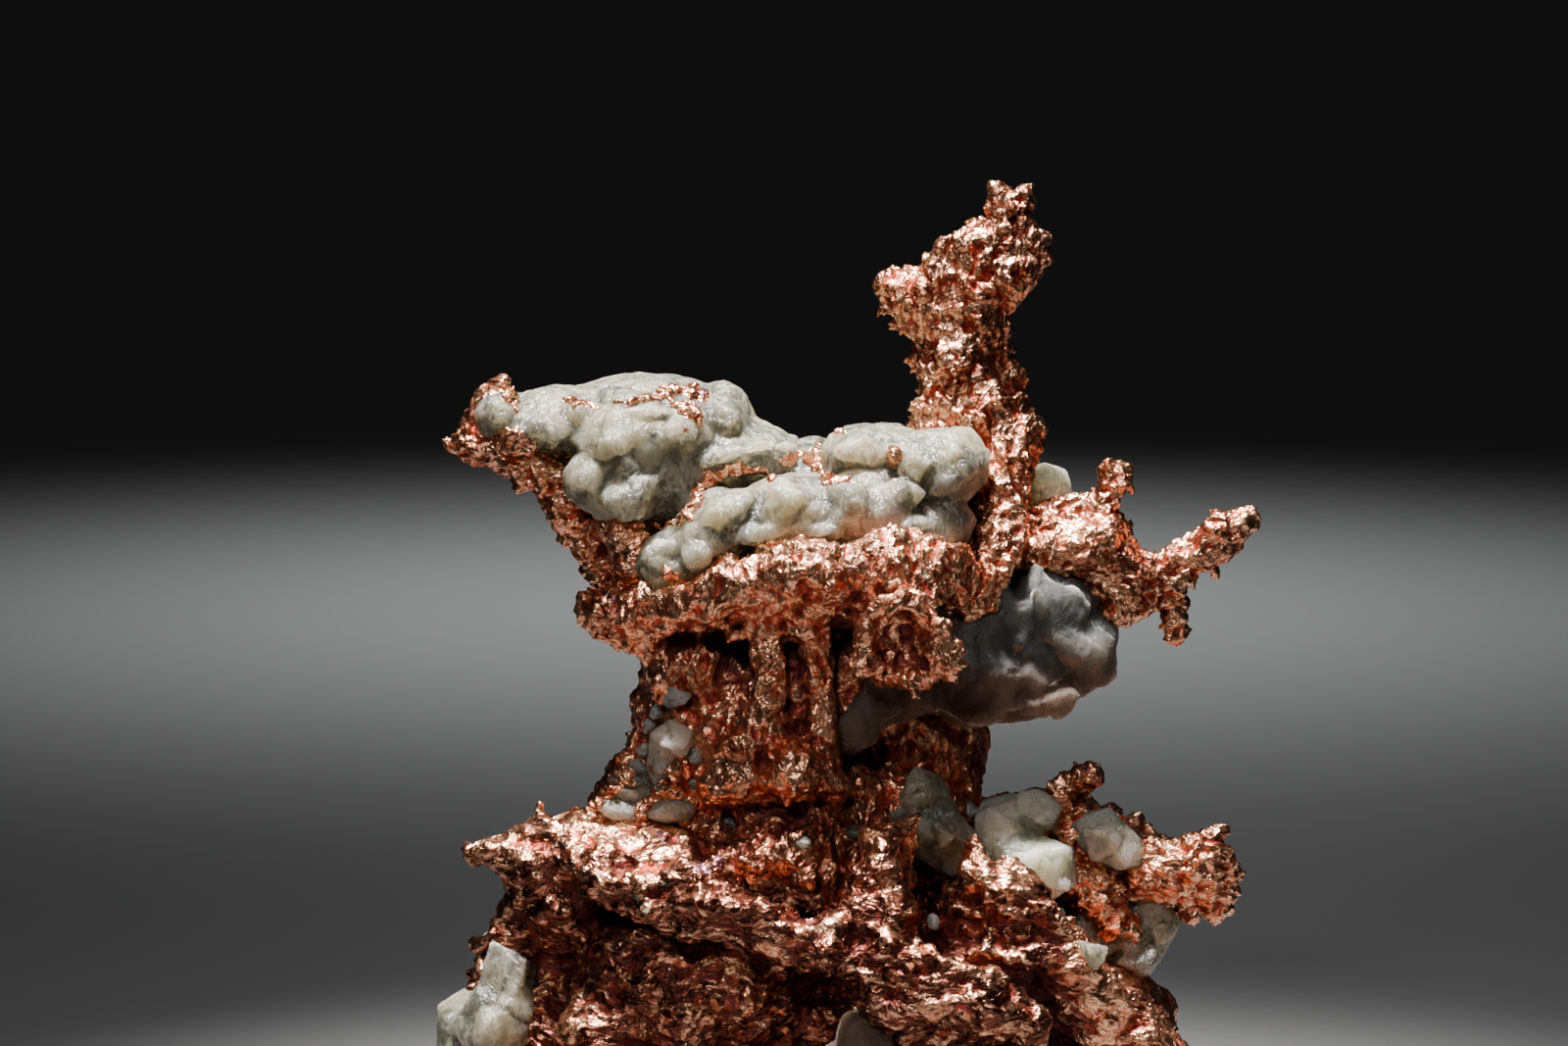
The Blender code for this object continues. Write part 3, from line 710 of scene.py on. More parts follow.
def copperMaterial():
    material, graph = newMaterial("bareCopper")
    look = copperFinish
    point, flow = objectPoint(graph), graph.attribute("flow", "Vector")
    ridge, hollow, deep, shelter = map(graph.attribute, ("ridge", "hollow", "deep", "shelter"))
    across, up = graph.part(point, "X"), graph.part(point, "Z")
    broad, middling, fine = cloudsOf(graph, point, look)

    rusty = hollow + shelter * 0.3 + (middling - 0.5) * 0.35 + (broad - 0.5) * 0.35
    rusty = graph.step(rusty, *look["oxideRange"])
    glint = graph.part(graph.cells(flow, look["glintSize"], out="Color"), "X")
    glint = graph.step(glint, *look["glintRange"])
    # painted shade: besides random patches of patina, this mask darkens steep sides, the lower foot and the
    # shelf behind the front crest, and keeps off raised crests
    low = graph.step(up, *look["footHeights"]) * graph.step(across, *look["footSides"])
    saddle = graph.step(up, *look["saddleTop"]) * graph.step(up, *look["saddleBase"])
    saddle = saddle * graph.step(across, *look["saddleLeft"])
    side = graph.step(facingUp(graph), *look["steep"])
    patinaAndPaintedShade = graph.noise(point, look["patinaSize"], 3) + (middling - 0.5) * 0.4 + low * (side * 0.18 + 0.14)
    patinaAndPaintedShade = patinaAndPaintedShade + saddle * graph.step(across, *look["saddleRight"]) * 0.3
    patinaAndPaintedShade = graph.step(patinaAndPaintedShade - graph.step(deep, *look["raised"]) * 0.17, *look["patinaRange"])
    # painted shade: the dark colour goes into sheltered hollows and caves, where shade falls
    paintedCaveShade = shelter + (middling - 0.5) * 0.3 + (broad - 0.5) * 0.3 + deep * 0.08 + hollow * 0.5
    paintedCaveShade = graph.step(paintedCaveShade, *look["darkRange"])
    tarnished = graph.noise(point, look["tarnishSize"]) * 0.7 + middling * 0.3
    specks = graph.noise(point, look["greenSize"]) * 0.6 + graph.noise(point, look["greenPatches"]) * 0.4
    specks = graph.step(specks, *look["greenRange"])
    colour = layered(graph, look, "bright", {
        "warm": graph.step(middling + fine * 0.5, *look["warmRange"]),
        "oxide": rusty * look["oxideShare"],
        "patinaAndPaintedShade": patinaAndPaintedShade * (low * 0.33 + 0.6) * (1 - glint * 0.65),
        "dark": paintedCaveShade * look["darkShare"],
        "tarnish": graph.step(tarnished, *look["tarnishRange"]) * look["tarnishShare"],
        "green": specks * look["greenShare"]})

    bent = graph.shifted(flow, graph.wander(flow, look["bendSize"]), look["bend"])
    cups = scoops(graph, flow, look["cupSize"]) * look["cupHeight"]
    dimples = scoops(graph, bent, look["dimpleSize"]) * look["dimpleHeight"]
    ribs = wrinkles(graph, bent, look["ribSize"]) * (1.1 - ridge * 0.7) * look["ribHeight"]
    hackly = graph.step(graph.noise(point, look["hackleSize"]), *look["hackleRange"])
    chips = facets(graph, bent, look["chipSize"], hackly * look["chipTilt"])
    grit = facets(graph, point, look["gritSize"], hackly * look["gritTilt"])
    height = cups + dimples + fine * look["fineHeight"] + ribs + (chips + grit)
    graph.fill(graph.shader, {
        "Base Color": colour, "Metallic": 1 - (rusty * 0.25 + paintedCaveShade * 0.2 + specks * 0.8),
        "Roughness": look["polish"] + middling * 0.12 + fine * 0.08 + rusty * 0.14 + paintedCaveShade * 0.12,
        "Normal": bumpOf(graph, height)})
    return material


prehniteShared = {
    "speck": (0.05, 0.03, 0.02, 1), "soil": (0.12, 0.07, 0.05, 1),
    "rusty": 0.0, "soiled": 0.0,  # shares of rust under a piece and of soil low on it
    "dull": 0.26, "Specular IOR Level": 0.5, "IOR": 1.62, "Transmission Weight": 0.1,
    "Subsurface Weight": 1.0, "Subsurface Radius": (1.0, 0.95, 0.8), "Subsurface Scale": 0.012,
    "greenRange": (0.38, 0.60), "clearRange": (0.62, 0.84), "blushRange": (0.56, 0.66),
    "frostRange": (0.42, 0.58), "wornRange": (0.06, 0.24), "crackRange": (0.5, 0.95),
    "crackPlaces": (0.4, 0.55), "rustRange": (0.66, 0.76), "speckRange": (0.17, 0.12),
    "underside": (0.1, -0.6), "soilHeights": (65.5, 62.5),
    "broadSize": 6, "middlingSize": 2.0, "fineSize": 0.4, "cloudSize": 5, "blushSize": 8, "speckSpacing": 3.0,
    "bendSize": 2.0, "bend": 2.4, "fibreSize": 0.7, "fibreFlow": (1.0, 0.8, 0.5), "fibreHeight": 0.08,
    "plateSize": 1.5, "plateTilt": 0.28, "fineHeight": 0.06,
}
prehniteFinishes = {
    "waxyPrehnite": {
        "frost": (0.54, 0.51, 0.41, 1), "milk": (0.25, 0.225, 0.16, 1), "green": (0.18, 0.175, 0.125, 1),
        "clear": (0.085, 0.083, 0.068, 1), "blush": (0.27, 0.19, 0.15, 1), "rust": (0.26, 0.09, 0.035, 1),
        "crease": (0.035, 0.037, 0.028, 1), "Transmission Weight": 0.12,
    },
    # a darker copy of the prehnite, painted shade for the pieces that lie in shade under the right arm and in
    # the cave
    "shadedPrehnite": {
        "frost": (0.13, 0.13, 0.125, 1), "milk": (0.095, 0.095, 0.09, 1), "green": (0.07, 0.073, 0.07, 1),
        "clear": (0.05, 0.052, 0.05, 1), "blush": (0.13, 0.10, 0.08, 1), "rust": (0.24, 0.12, 0.075, 1),
        "speck": (0.015, 0.01, 0.008, 1), "crease": (0.045, 0.05, 0.05, 1),
        "rusty": 0.20, "soiled": 0.8, "dull": 0.60, "Specular IOR Level": 0.2,
    },
    "creamPrehnite": {
        "frost": (0.72, 0.68, 0.56, 1), "milk": (0.60, 0.55, 0.44, 1), "green": (0.43, 0.46, 0.33, 1),
        "clear": (0.30, 0.33, 0.29, 1), "blush": (0.60, 0.44, 0.34, 1), "rust": (0.30, 0.11, 0.05, 1),
        "crease": (0.16, 0.16, 0.11, 1), "rusty": 0.03,
    },
}


def prehniteMaterial(name):
    material, graph = newMaterial(name)
    look = {**prehniteShared, **prehniteFinishes[name]}
    point = objectPoint(graph)
    hollow, crease, shelter, tone = map(graph.attribute, ("hollow", "crease", "shelter", "tone"))
    broad, middling, fine = cloudsOf(graph, point, look)

    cloudy = graph.noise(point, look["cloudSize"]) * 0.7 + middling * 0.3 + tone * 0.4
    bent = graph.shifted(point, graph.wander(point, look["bendSize"]), look["bend"])
    fibres = wrinkles(graph, graph.vectors("MULTIPLY", bent, look["fibreFlow"]), look["fibreSize"])
    # painted shade: the crease colour is laid into hollows and sheltered places, where shade falls, as well
    # as along real cracks
    paintedHollowShade = graph.step(hollow + shelter * 0.4 + crease * 0.08, *look["wornRange"])
    cracked = graph.step(crease, *look["crackRange"]) * graph.step(broad, *look["crackPlaces"])
    under = graph.step(facingUp(graph), *look["underside"]) * look["rusty"]
    stain = graph.step(middling + under + hollow * 0.15, *look["rustRange"])
    colour = layered(graph, look, "milk", {
        "green": graph.step(broad * 0.55 + tone * 0.45, *look["greenRange"]),
        "clear": graph.step(cloudy, *look["clearRange"]) * 0.9,
        "blush": graph.step(graph.noise(point, look["blushSize"]), *look["blushRange"]) * 0.6,
        "frost": fibres * graph.step(middling, *look["frostRange"]) * 0.5,
        "crease": graph.maths("MAXIMUM", paintedHollowShade * 0.7, cracked * 0.5),
        "rust": stain * 0.8,
        "soil": graph.step(graph.part(point, "Z") + broad * 4, *look["soilHeights"]) * look["soiled"],
        "speck": graph.step(graph.cells(point, look["speckSpacing"]) + fine * 0.2, *look["speckRange"])})
    plates = facets(graph, bent, look["plateSize"], look["plateTilt"])
    height = fibres * look["fibreHeight"] + plates + fine * look["fineHeight"]
    graph.fill(graph.shader, {title: look[title] for title in look if title in graph.shader.inputs})
    graph.fill(graph.shader, {
        "Base Color": colour, "Roughness": look["dull"] + fine * 0.24 + stain * 0.2,
        "Normal": bumpOf(graph, height)})
    return material


bareCopper = copperMaterial()
waxyPrehnite, shadedPrehnite, creamPrehnite = [prehniteMaterial(name) for name in prehniteFinishes]
say("finishes made")


# the copper

# scoops and folds are given by size and height, nodules by spacing and size
copperForms = [
    {
        "name": "copperFootSkin", "node": "copper_foot", "triangles": 196000, "grow": 0.05, "flat": True,
        "grain": 0.38, "scoops": (2.5, 0.8), "folds": (2.0, 0.55), "flow": (0.5, 0.8, 1.0),
        "nodules": (1.4, 0.5),
        "spikes": [
            [(-30, -9, 43.6, 1.8), (-33.6, -9, 43.4, 1.5), (-36.2, -9, 43.2, 0.8)],
            [(-28.6, -9, 44.5, 1.7), (-29, -9, 46.4, 1.1), (-29.2, -9, 48, 0.6)],
            [(-24, -15, 41, 0.8), (-19.9, -19, 41.8, 0.9), (-14.8, -21, 42, 0.9), (-10.5, -20.6, 44.6, 0.9)],
            [(-16, -21.5, 40.5, 0.9), (-10.4, -24, 40.9, 0.9), (-7.8, -25, 39.4, 0.8),
             (-4.8, -25.6, 38.6, 0.9)],
            [(-4.8, -25.6, 38.6, 0.9), (-1.6, -25.6, 38.2, 0.8), (1, -25, 39, 0.9), (3, -23.6, 40.8, 1.0)],
            [(7.2, -17, 45.6, 1.6), (7, -17, 47.4, 1.1), (6.6, -17, 48.8, 0.6)],
            [(14.1, -19.5, 46.6, 0.7), (15.6, -21.5, 43.2, 0.9), (18.7, -22.6, 41.6, 0.9),
             (21.7, -22.8, 39.4, 1)],
            [(21.7, -22.8, 39.4, 1), (24.3, -22, 35, 1.1), (26.9, -21, 28.5, 1.2)],
            [(4.3, -25, 34.6, 0.8), (9.4, -27, 36.6, 0.9), (11.4, -27.2, 35.4, 0.8),
             (15.4, -26.6, 33.8, 0.9)],
        ],
    },
    {
        "name": "copperTrunkSkin", "node": "copper_trunk", "triangles": 160000, "grow": 0.2,
        "grain": 0.32, "scoops": (2.6, 0.85), "folds": (2.0, 0.55), "flow": (1.0, 0.9, 0.45),
        "nodules": (1.1, 0.42),
        "lumps": [
            (-6, 0, 44, 13, 9, 5, 0), (8, 4, 44, 8, 7, 5, 0), (-13, -6.5, 62, 6, 4.6, 3.6, 0),
            (-3.6, -11.4, 58.5, 1.9, 2.2, 7, 0), (1.8, -7.6, 61, 2.4, 4, 6.5, 0),
        ],
        "pits": [(7, -24, 65.0, 3.6, 5.2, 4.4, -8)],
        "spikes": [
            [(-21.6, -6, 66.4, 1.4), (-24.2, -6.5, 67.4, 0.8)],
            [(3.4, -21, 64, 0.7), (4, -21.6, 68, 0.8), (7, -22, 70.4, 0.9), (10.6, -21, 67.6, 0.8)],
            [(10.6, -21, 67.6, 0.8), (11.6, -20, 63.4, 0.8)],
        ],
    },
    {
        "name": "copperLeftArmSkin", "node": "copper_left_arm", "triangles": 80000, "grain": 0.26,
        "scoops": (1.9, 0.6), "folds": (1.8, 0.4), "flow": (0.6, 0.9, 0.8), "nodules": (0.9, 0.34),
        "ropes": [[(-12, 0, 66, 3), (-18, 0, 69.5, 3)]],
        "spikes": [
            [(-36, -2, 84.6, 1.2), (-35, -2, 87, 0.9), (-33.6, -2, 90, 0.8)],
            [(-36.6, -3, 84.6, 1.1), (-38, -3, 84.2, 0.6)],
        ],
    },
    {
        "name": "copperSpireSkin", "node": "copper_spire", "triangles": 110000, "grain": 0.26,
        "scoops": (2.3, 0.75), "folds": (1.9, 0.5), "flow": (1.0, 0.9, 0.6), "nodules": (0.95, 0.38),
        "ropes": [[(10, 4, 66, 4), (13, 3, 72, 4)]],
        "pits": [(22.2, 0, 110.6, 2.6, 8, 2.6, 40), (3.0, 0, 99, 2.2, 8, 3.5, 0)],
        "planes": 900,
        "spikes": [
            [(18.4, 0, 106.6, 1.3), (19.0, 0, 109.0, 0.8)], [(17.2, 0, 107.6, 1.3), (16.8, 0, 109.6, 0.8)],
            [(7.4, 0, 99, 1.2), (6, 0, 99.8, 0.7)], [(20.8, 0, 101.6, 1.2), (22, 0, 102.4, 0.7)],
        ],
    },
    {
        "name": "copperRightArmSkin", "node": "copper_right_arm", "triangles": 70000,
        "grain": 0.25, "scoops": (1.9, 0.6), "folds": (1.8, 0.4), "flow": (0.6, 0.9, 0.8),
        "nodules": (0.9, 0.34),
        "ropes": [[(14, 2, 71, 3), (19, 0, 73.5, 3)]],
        "spikes": [
            [(28.4, -1, 76.5, 1.2), (28.2, -1, 79.2, 0.9), (29.6, -1, 80.6, 0.7)],
            [(41, -1.6, 75, 1.4), (43, -1.6, 75.8, 0.8)],
            [(35, -1, 66.5, 0.9), (35.2, -1, 64.2, 0.7), (36.4, -1, 64.8, 0.5)],
            [(38.2, -1.6, 72, 1), (39.4, -1.6, 70.6, 0.6)],
        ],
    },
    {
        "name": "copperShoulderSkin", "node": "copper_right_shoulder", "triangles": 80000,
        "grain": 0.28, "scoops": (2.3, 0.75), "folds": (1.9, 0.5), "flow": (0.6, 0.9, 1.0),
        "nodules": (1.0, 0.38),
        "ropes": [[(10, 4, 40, 4), (18, 3, 41, 4)]],
        "spikes": [
            [(24.6, -0.5, 47, 1.5), (26.8, -1, 49.8, 0.7)], [(38.4, -2, 43, 1.1), (40, -2, 43.8, 0.6)],
        ],
    },
]

copperSkin = {"Chip size": 2.0, "Chip tilt": 0.75, "Swirl": 0.8}
copperGrain = {
    "Scoop size": 0.9, "Scoop height": 0.22, "Chip size": 0.9, "Chip tilt": 0.6, "Rib size": 0.9,
    "Rib height": 0.22,
}
copperCrumb, prehniteCrumb = 200, 60
copperSeed, prehniteSeed = 1, 20  # the first piece's seed
crumpleNodes, grainNodes, botryoidNodes = crumpleTree(), grainTree(), botryoidTree()


def bareSkin(piece, voxel, skin, finest, common):
    # crumples a shape in bare copper, fuses its nodules to it and gives it the finest grain
    dress(piece, crumpleNodes, {**skin, **common, "Material": bareCopper})
    fuse(piece, voxel)
    dress(piece, grainNodes, {**finest, **common, "Material": bareCopper})


def finishOff(piece, form, crumb):
    # drops what is loose and has fewer corners than a crumb, and thins the piece out to its triangles
    dropCrumbs(piece, crumb)
    count = len(piece.data.polygons)
    thinOut(piece, form["triangles"])
    if form.get("flat"):
        standFlat(piece)
    piece.data.shade_smooth()
    say(f"{piece.name}: {count} faces fused, {len(piece.data.polygons)} kept")


copperPieces = []
for seed, form in enumerate(copperForms, copperSeed):
    piece = formOf(form)
    skin = dict(copperSkin)
    skin["Scoop size"], skin["Scoop height"] = form["scoops"]
    skin["Fold size"], skin["Fold height"] = form["folds"]
    skin["Nodule spacing"], skin["Nodule size"] = form["nodules"]
    finest = {**copperGrain, "Broad size": skin["Scoop size"] * broadRatio}
    bareSkin(piece, form["grain"], skin, finest, {"Flow": form["flow"], "Seed": seed})
    finishOff(piece, form, copperCrumb)
    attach(piece, "root")
    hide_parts(form["node"])
    copperPieces.append(piece)


# the prehnite

prehniteDefaults = {
    "grow": 0.4, "soften": 3, "triangles": 10000, "material": waxyPrehnite, "flow": (1, 1, 1),
    "plates": 5.0, "plateHeight": 0.22, "facets": 0.06,  # plates of the skin, and how far they lean
}
blocky = {"plateHeight": 0.1, "blunt": 0}
prehniteSkin = {"Chip height": 0.07, "Scale size": 1.3, "Scale height": 0.06}
chipRatio = 0.45  # size of the prehnite's chips, against its plates

prehniteForms = [
    {
        "name": "leftCrown", "node": "prehnite_left_crown", "triangles": 50000, "grain": 0.27, "planes": 520,
        "lumps": [(-33.2, -4, 86.8, 2.6, 2.8, 2.5, 0), (-30.6, -5, 85.4, 2.6, 2.8, 2.4, 0)],
        "bosses": [
            (-33.6, 86.9, 1.8, 1.5, 0), (-28.6, 85.4, 3.2, 2.4, 10), (-25.2, 86.4, 2.2, 1.8, 0),
            (-21.8, 83.8, 2.6, 1.9, -20), (-20.8, 81.6, 1.6, 1.4, 0), (-24.4, 79.8, 2.1, 2.2, 0),
            (-20.2, 78.4, 3.2, 2.8, -30), (-15.6, 84.6, 2.7, 2.1, -15), (-10.8, 86, 2.3, 3.2, 0),
            (-14.9, 78.2, 1.6, 1.7, 20), (-16.2, 80.8, 1.8, 1.5, 0), (-10, 82.6, 4.8, 1.4, -12),
            (-19, 86.9, 3.2, 1.2, -5), (-5.4, 83, 2.2, 1.2, -6),
        ],
    },
    {
        "name": "topSlab", "node": "prehnite_top_slab", "triangles": 50000, "grain": 0.27, "planes": 460,
        "bosses": [
            (-16.8, 72.4, 2, 1.8, -20), (-13.4, 72.4, 2.8, 2.1, -30), (-10.4, 76.6, 3.8, 1.9, -30),
            (-4.2, 78.2, 2.9, 2.1, 0), (1.6, 77.6, 3.6, 2.5, 0), (2.9, 82.6, 3, 2.7, 0), (8.8, 82, 3, 2.7, 0),
            (-6.6, 74.5, 3.2, 1.5, -10), (-0.6, 75, 2.4, 1.2, 0), (8.4, 75.3, 2.8, 1.7, 0),
            (7.6, 78.6, 2.6, 1.8, 0), (11.6, 79.4, 1.8, 2.2, 0),
        ],
    },
    {
        "name": "overhang", "node": "prehnite_overhang", "triangles": 40000, "grain": 0.34,
        "material": shadedPrehnite, "facets": 0.10, "flow": (1, 1, 0.5), "sunk": 0.6, "plates": 4.0,
        "plateHeight": 0.6, "planes": 170, "blunt": 0,
        "lumps": [
            (26.6, -4, 61.6, 2.8, 4, 2.6, 0), (22, -6, 58.4, 5, 5, 2, -15), (15, -6, 57.2, 5, 5, 1.8, 0),
        ],
        "bosses": [
            (17.4, 67.6, 2, 3.2, 0), (21.4, 67.8, 2, 3.6, 0), (25.2, 66.4, 2, 3.2, 0), (19.6, 63.4, 3, 2, 0),
            (26.4, 62.6, 2.4, 2, 0), (15, 61.4, 3.2, 2, 0), (21.4, 59.4, 3.2, 1.8, 0),
            (10.4, 59.8, 2.8, 1.6, 0), (5.2, 59.6, 2.6, 2, 0), (24.4, 57.8, 2, 1.2, 0),
        ],
    },
    {
        "name": "pebble", "node": "prehnite_pebble", "grain": 0.28, "material": creamPrehnite,
        "plateHeight": 0.15,
    },
    {
        "name": "trunkCrystal", "node": "prehnite_trunk_crystal", "triangles": 8000, "grain": 0.18,
        "material": creamPrehnite, "planes": 30, "grow": 0, **blocky,
        "blocks": [
            (-15.5, 57.8, 1.8, 1.3, 10), (-15.9, 53, 2.4, 1.9, -20), (-18.6, 52.4, 1.2, 1.0, 0),
            (-17.4, 56.2, 1.0, 0.9, 0), (-13.6, 51.6, 1.2, 0.9, 30), (-19.6, 50.4, 1.3, 1.0, 10),
            (-17.2, 50.3, 1.0, 0.8, -30), (-18.2, 54.6, 0.8, 1.0, 0),
        ],
    },
    {
        "name": "seam", "node": "prehnite_seam", "triangles": 12000, "grain": 0.2, "planes": 60,
        "grow": -0.4, **blocky,
        "blocks": [
            (-20.5, 47.4, 2.2, 1.4, 0), (-17.2, 48.2, 1.5, 1.1, 20), (-23.2, 46.6, 1.2, 0.8, 0),
            (-19, 49.2, 1.4, 1.0, -20), (-15.4, 47.2, 1.3, 0.9, 0), (-21.8, 48.8, 1.0, 0.8, 30),
            (-13.6, 48.6, 1.0, 0.8, 0), (-10, 44.6, 1.2, 0.9, 20), (-2.6, 42.6, 0.9, 0.7, 0),
            (2.6, 43.4, 1.4, 1.1, -20),
        ],
    },
    {
        "name": "shoulder", "node": "prehnite_shoulder", "triangles": 16000, "grain": 0.2, "planes": 44,
        "material": creamPrehnite, **blocky,
        "blocks": [
            (17.4, 44.4, 2.0, 2.4, 10), (21.6, 45.4, 2.6, 1.9, -10), (21, 40.2, 3.0, 3.0, 30),
            (16.6, 41.4, 1.5, 2.0, 0), (11, 34.4, 1.0, 0.9, 0), (23.8, 38.2, 1.2, 1.2, 0),
            (14.6, 46, 1.2, 1.2, 20),
        ],
    },
    {
        "name": "shoulderCrystal", "node": "prehnite_shoulder_crystal", "grain": 0.18, "planes": 26,
        "material": creamPrehnite, **blocky,
        "blocks": [(28.4, 43, 2.6, 2.3, -15), (30.2, 41.4, 1.6, 1.6, 0), (26.2, 44.6, 1.2, 1.1, 0)],
    },
    {
        "name": "hollowCrystal", "node": "prehnite_hollow", "grain": 0.22, "planes": 40, "blunt": 0,
        "blocks": [(9.6, 47, 2.2, 2.0, -40), (11.6, 44, 2.0, 2.2, 20), (7.4, 45.6, 1.2, 1.2, 0)],
    },
    {
        "name": "caveCrystal", "node": "prehnite_cave", "triangles": 8000, "grain": 0.3, "planes": 50,
        "material": shadedPrehnite,
    },
    {
        "name": "underShoulder", "node": "prehnite_under_shoulder", "triangles": 14000, "grain": 0.22,
        "planes": 44, **blocky,
        "blocks": [(27, 31, 2.2, 2.2, 0), (31.5, 30.4, 3.2, 2.2, -20), (34.4, 33.4, 1.6, 1.4, 0)],
    },
    {
        "name": "lowerLeft", "node": "prehnite_lower_left", "triangles": 18000, "grain": 0.25, "planes": 90,
        "blunt": 0,
    },
    {"name": "backFoot", "node": "prehnite_back_foot", "grain": 0.34, "planes": 90},
    {"name": "backTrunk", "node": "prehnite_back_trunk", "grain": 0.32, "planes": 80},
]

prehnitePieces = []
for seed, form in enumerate(prehniteForms, prehniteSeed):
    form = {**prehniteDefaults, **form}
    piece = formOf(form, copperPieces)
    dress(piece, botryoidNodes, {
        **prehniteSkin, "Plate size": form["plates"], "Plate height": form["plateHeight"],
        "Plate tilt": form["facets"], "Chip size": form["plates"] * chipRatio, "Flow": form["flow"],
        "Seed": seed, "Material": form["material"]})
    finishOff(piece, form, prehniteCrumb)
    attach(piece, "root")
    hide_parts(form["node"])
    prehnitePieces.append(piece)


# the copper that runs over the prehnite

veins = {
    "seed": 11, "grain": 0.2, "triangles": 60000, "crumb": 60, "flow": (0.7, 0.9, 0.9),
    "stride": 0.35, "sink": 0.35, "thin": 0.9, "astray": 0.5,  # the last three as shares of a half width
    "breadth": (0.5, 1.0), "depth": 0.7, "lean": 60,
    "skin": {
        "Scoop size": 1.0, "Scoop height": 0.35, "Fold size": 1.2, "Fold height": 0.25, "Chip size": 0.8,
        "Chip tilt": 0.8, "Swirl": 0.4, "Nodule spacing": 0.6, "Nodule size": 0.22,
    },
    "finest": {
        "Scoop size": 0.8, "Scoop height": 0.15, "Chip size": 0.7, "Chip tilt": 0.6, "Rib size": 0.7,
        "Rib height": 0.12, "Broad size": 2.4,
    },
    "lines": [  # (x, z, half width) along the side towards the camera
        [(-33.3, 89.7, 0.5), (-32.6, 88.8, 0.4), (-31.9, 87.6, 0.35), (-31.8, 86.1, 0.35),
         (-31.5, 84.9, 0.6)],
        [(-31.5, 84.6, 0.7), (-30.6, 83.4, 1.0), (-29.2, 82.6, 0.9), (-26.9, 82.2, 0.7)],
        [(-35, 84.2, 0.9), (-32.6, 83.8, 1.1), (-30.6, 83, 1.1)],
        [(-31.5, 87.9, 0.25), (-29.2, 87.6, 0.25), (-27.5, 87.9, 0.3), (-26.4, 88.3, 0.5)],
        [(-26.4, 88.3, 0.6), (-25.6, 87.9, 0.6), (-24.4, 87.6, 0.5), (-23.1, 87.4, 0.3)],
        [(-21.1, 87.9, 0.6), (-19.7, 88.3, 0.6), (-18.1, 88.6, 0.6), (-16.4, 89, 0.9), (-14.4, 89, 1.1)],
        [(-14.4, 89, 1.1), (-12.6, 88.5, 0.8)],
        [(-16.2, 88.2, 0.9), (-14.4, 87.6, 1.0), (-13.6, 86.9, 0.8), (-13.3, 86.0, 0.5)],
        [(-14.8, 85.4, 0.35), (-14.5, 85.2, 0.35)],
        [(-20.6, 74.9, 1.0), (-18.1, 74.9, 0.8), (-16.1, 75.6, 0.6), (-14.4, 76.1, 0.6), (-13.7, 77.2, 0.5)],
        [(-13.7, 77.2, 0.5), (-13.1, 78.8, 0.7), (-11.9, 80.2, 0.8), (-10.6, 80.9, 0.8), (-8.9, 80.9, 0.7)],
        [(-8.9, 80.9, 0.7), (-7.5, 80.8, 0.5), (-6.7, 81.1, 0.4), (-5.8, 80.1, 0.4)],
        [(-4.2, 82.2, 0.6), (-3.1, 82.7, 0.8), (-1.7, 82.6, 0.9), (-1.1, 81.3, 0.8), (0, 79.9, 0.9)],
        [(0, 79.9, 0.9), (1.4, 80.2, 0.7), (2.8, 79.9, 0.4)],
        [(-0.8, 83.8, 0.8), (-0.7, 84.9, 0.7), (0.6, 85.2, 0.7), (1.8, 84.9, 0.7)],
        [(6.6, 82.7, 0.4), (6.8, 81.9, 0.4)],
        [(-16.6, 70.4, 0.7), (-15.3, 70, 0.8)],
        [(-24.6, 46.6, 0.8), (-22, 47.8, 0.7), (-20.2, 49.2, 0.7), (-18.6, 48.2, 0.6)],
        [(-19.2, 46.2, 0.8), (-17.4, 47.4, 0.6), (-15.4, 48.2, 0.8), (-13.6, 47.2, 0.8)],
    ],
}


def addVein(mesh, tree, start, end):
    # beads on the side towards the camera, from one (x, z, half width) to the next
    astray = veins["astray"]
    steps = max(1, round(math.dist(start[:2], end[:2]) / veins["stride"]))
    for step in range(steps + 1):
        x, z, half = (a + (b - a) * step / steps for a, b in zip(start, end))
        half *= veins["thin"]
        x, z = (place + random.uniform(-astray, astray) * half for place in (x, z))
        found = inFront(tree, x, z)
        if found:
            wide, high = (half * random.uniform(*veins["breadth"]) for _ in range(2))
            centre = found[0] - found[2] * half * veins["sink"]
            lean = random.uniform(-veins["lean"], veins["lean"])
            addLump(mesh, (*centre, wide, half * veins["depth"], high, lean), beadDetail)


random.seed(veins["seed"])
tree = surfaceTree(prehnitePieces)
mesh = bmesh.new()
for line in veins["lines"]:
    for start, end in zip(line, line[1:]):
        addVein(mesh, tree, start, end)
piece = meshObject("copperVeins", mesh)
fuse(piece, veins["grain"])
common = {"Flow": veins["flow"], "Seed": veins["seed"]}
bareSkin(piece, veins["grain"], veins["skin"], veins["finest"], common)
finishOff(piece, veins, veins["crumb"])
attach(piece, "root")


# floor, light and camera

floorPlan = {
    "half": 6.0, "cells": 60, "level": 1.0, "sweep": 0.12,  # metres: level near the object, then swept up
    "colour": (0.265, 0.267, 0.27, 1), "roughness": 0.8,
}

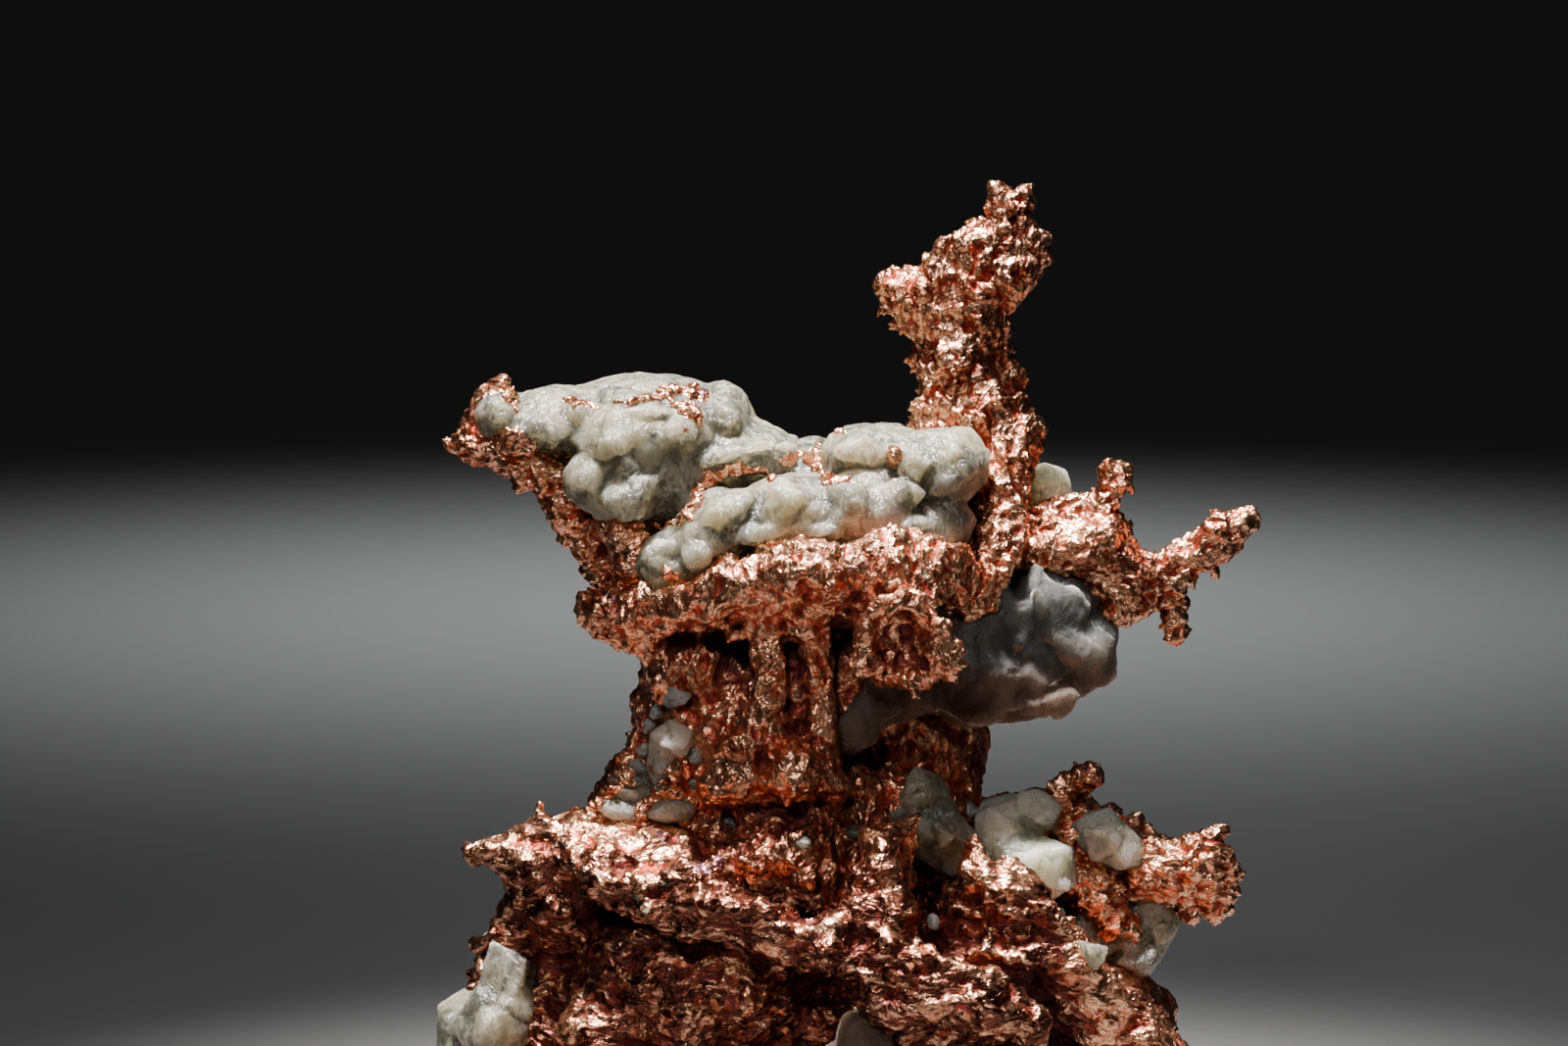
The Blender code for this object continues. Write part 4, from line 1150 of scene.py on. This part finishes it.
floorMesh = bmesh.new()
bmesh.ops.create_grid(
    floorMesh, x_segments=floorPlan["cells"], y_segments=floorPlan["cells"], size=floorPlan["half"]
)
for vertex in floorMesh.verts:
    vertex.co.z = floorPlan["sweep"] * max(0, vertex.co.xy.length - floorPlan["level"]) ** 2
floor = meshObject("paleFloor", floorMesh)
floor.data.shade_smooth()
paleFloor, graph = newMaterial("paleFloor")
graph.fill(graph.shader, {"Base Color": floorPlan["colour"], "Roughness": floorPlan["roughness"]})
floor.data.materials.append(paleFloor)

softboxes = [  # name, place, aimed at, side, watts, spread in degrees, colour
    ("key", (-0.04, -0.03, 0.58), (0, 0, 0.06), 0.07, 0.32, 22, (1, 0.98, 0.95)),
    ("top", (0.05, 0, 0.60), (0, 0, 0.06), 0.50, 0.12, 40, (0.97, 0.98, 1)),
    ("front", (-0.12, -0.40, 0.36), (0, 0, 0.07), 0.12, 0.022, 24, (1, 0.99, 0.97)),
    ("fill", (0.16, -0.60, 0.08), (0, 0, 0.06), 0.30, 0.006, 30, (1, 0.96, 0.92)),
    ("backdrop", (0, 0.5, 0.6), (0, 0.55, 0), 0.2, 0.5, 60, (1, 1, 1)),
]
studio = {"colour": (0.52, 0.50, 0.51, 1), "strength": 0.06}


def setUp(thing, place, direction, axis):
    # puts a lamp or a camera at its place, with one of its axes along the direction given
    thing.location = place
    thing.rotation_mode = "QUATERNION"
    thing.rotation_quaternion = direction.to_track_quat(axis, "Y")
    bpy.context.scene.collection.objects.link(thing)


for name, place, aim, side, watts, spread, colour in softboxes:
    data = bpy.data.lights.new(name, "AREA")
    data.size, data.energy, data.color, data.spread = side, watts, colour, math.radians(spread)
    setUp(bpy.data.objects.new(name, data), place, Vector(place) - Vector(aim), "Z")

world = bpy.data.worlds.new("studio")
bpy.context.scene.world = world
world.use_nodes = True
background = world.node_tree.nodes["Background"]
background.inputs["Color"].default_value = studio["colour"]
background.inputs["Strength"].default_value = studio["strength"]

lens = bpy.data.cameras.new("camera")
lens.sensor_width = view["sensor"]
lens.lens = view["sensor"] * view["distance"] / view["width"]
lens.clip_start = view["nearest"]
camera = bpy.data.objects.new("camera", lens)
setUp(camera, cameraPlace, placed(*view["target"]) - cameraPlace, "-Z")
bpy.context.scene.camera = camera
say("floor, light and camera set")

triangles = sum(trianglesOf(thing) for thing in bpy.data.objects if thing.type == "MESH")
say(f"{triangles} triangles in all")
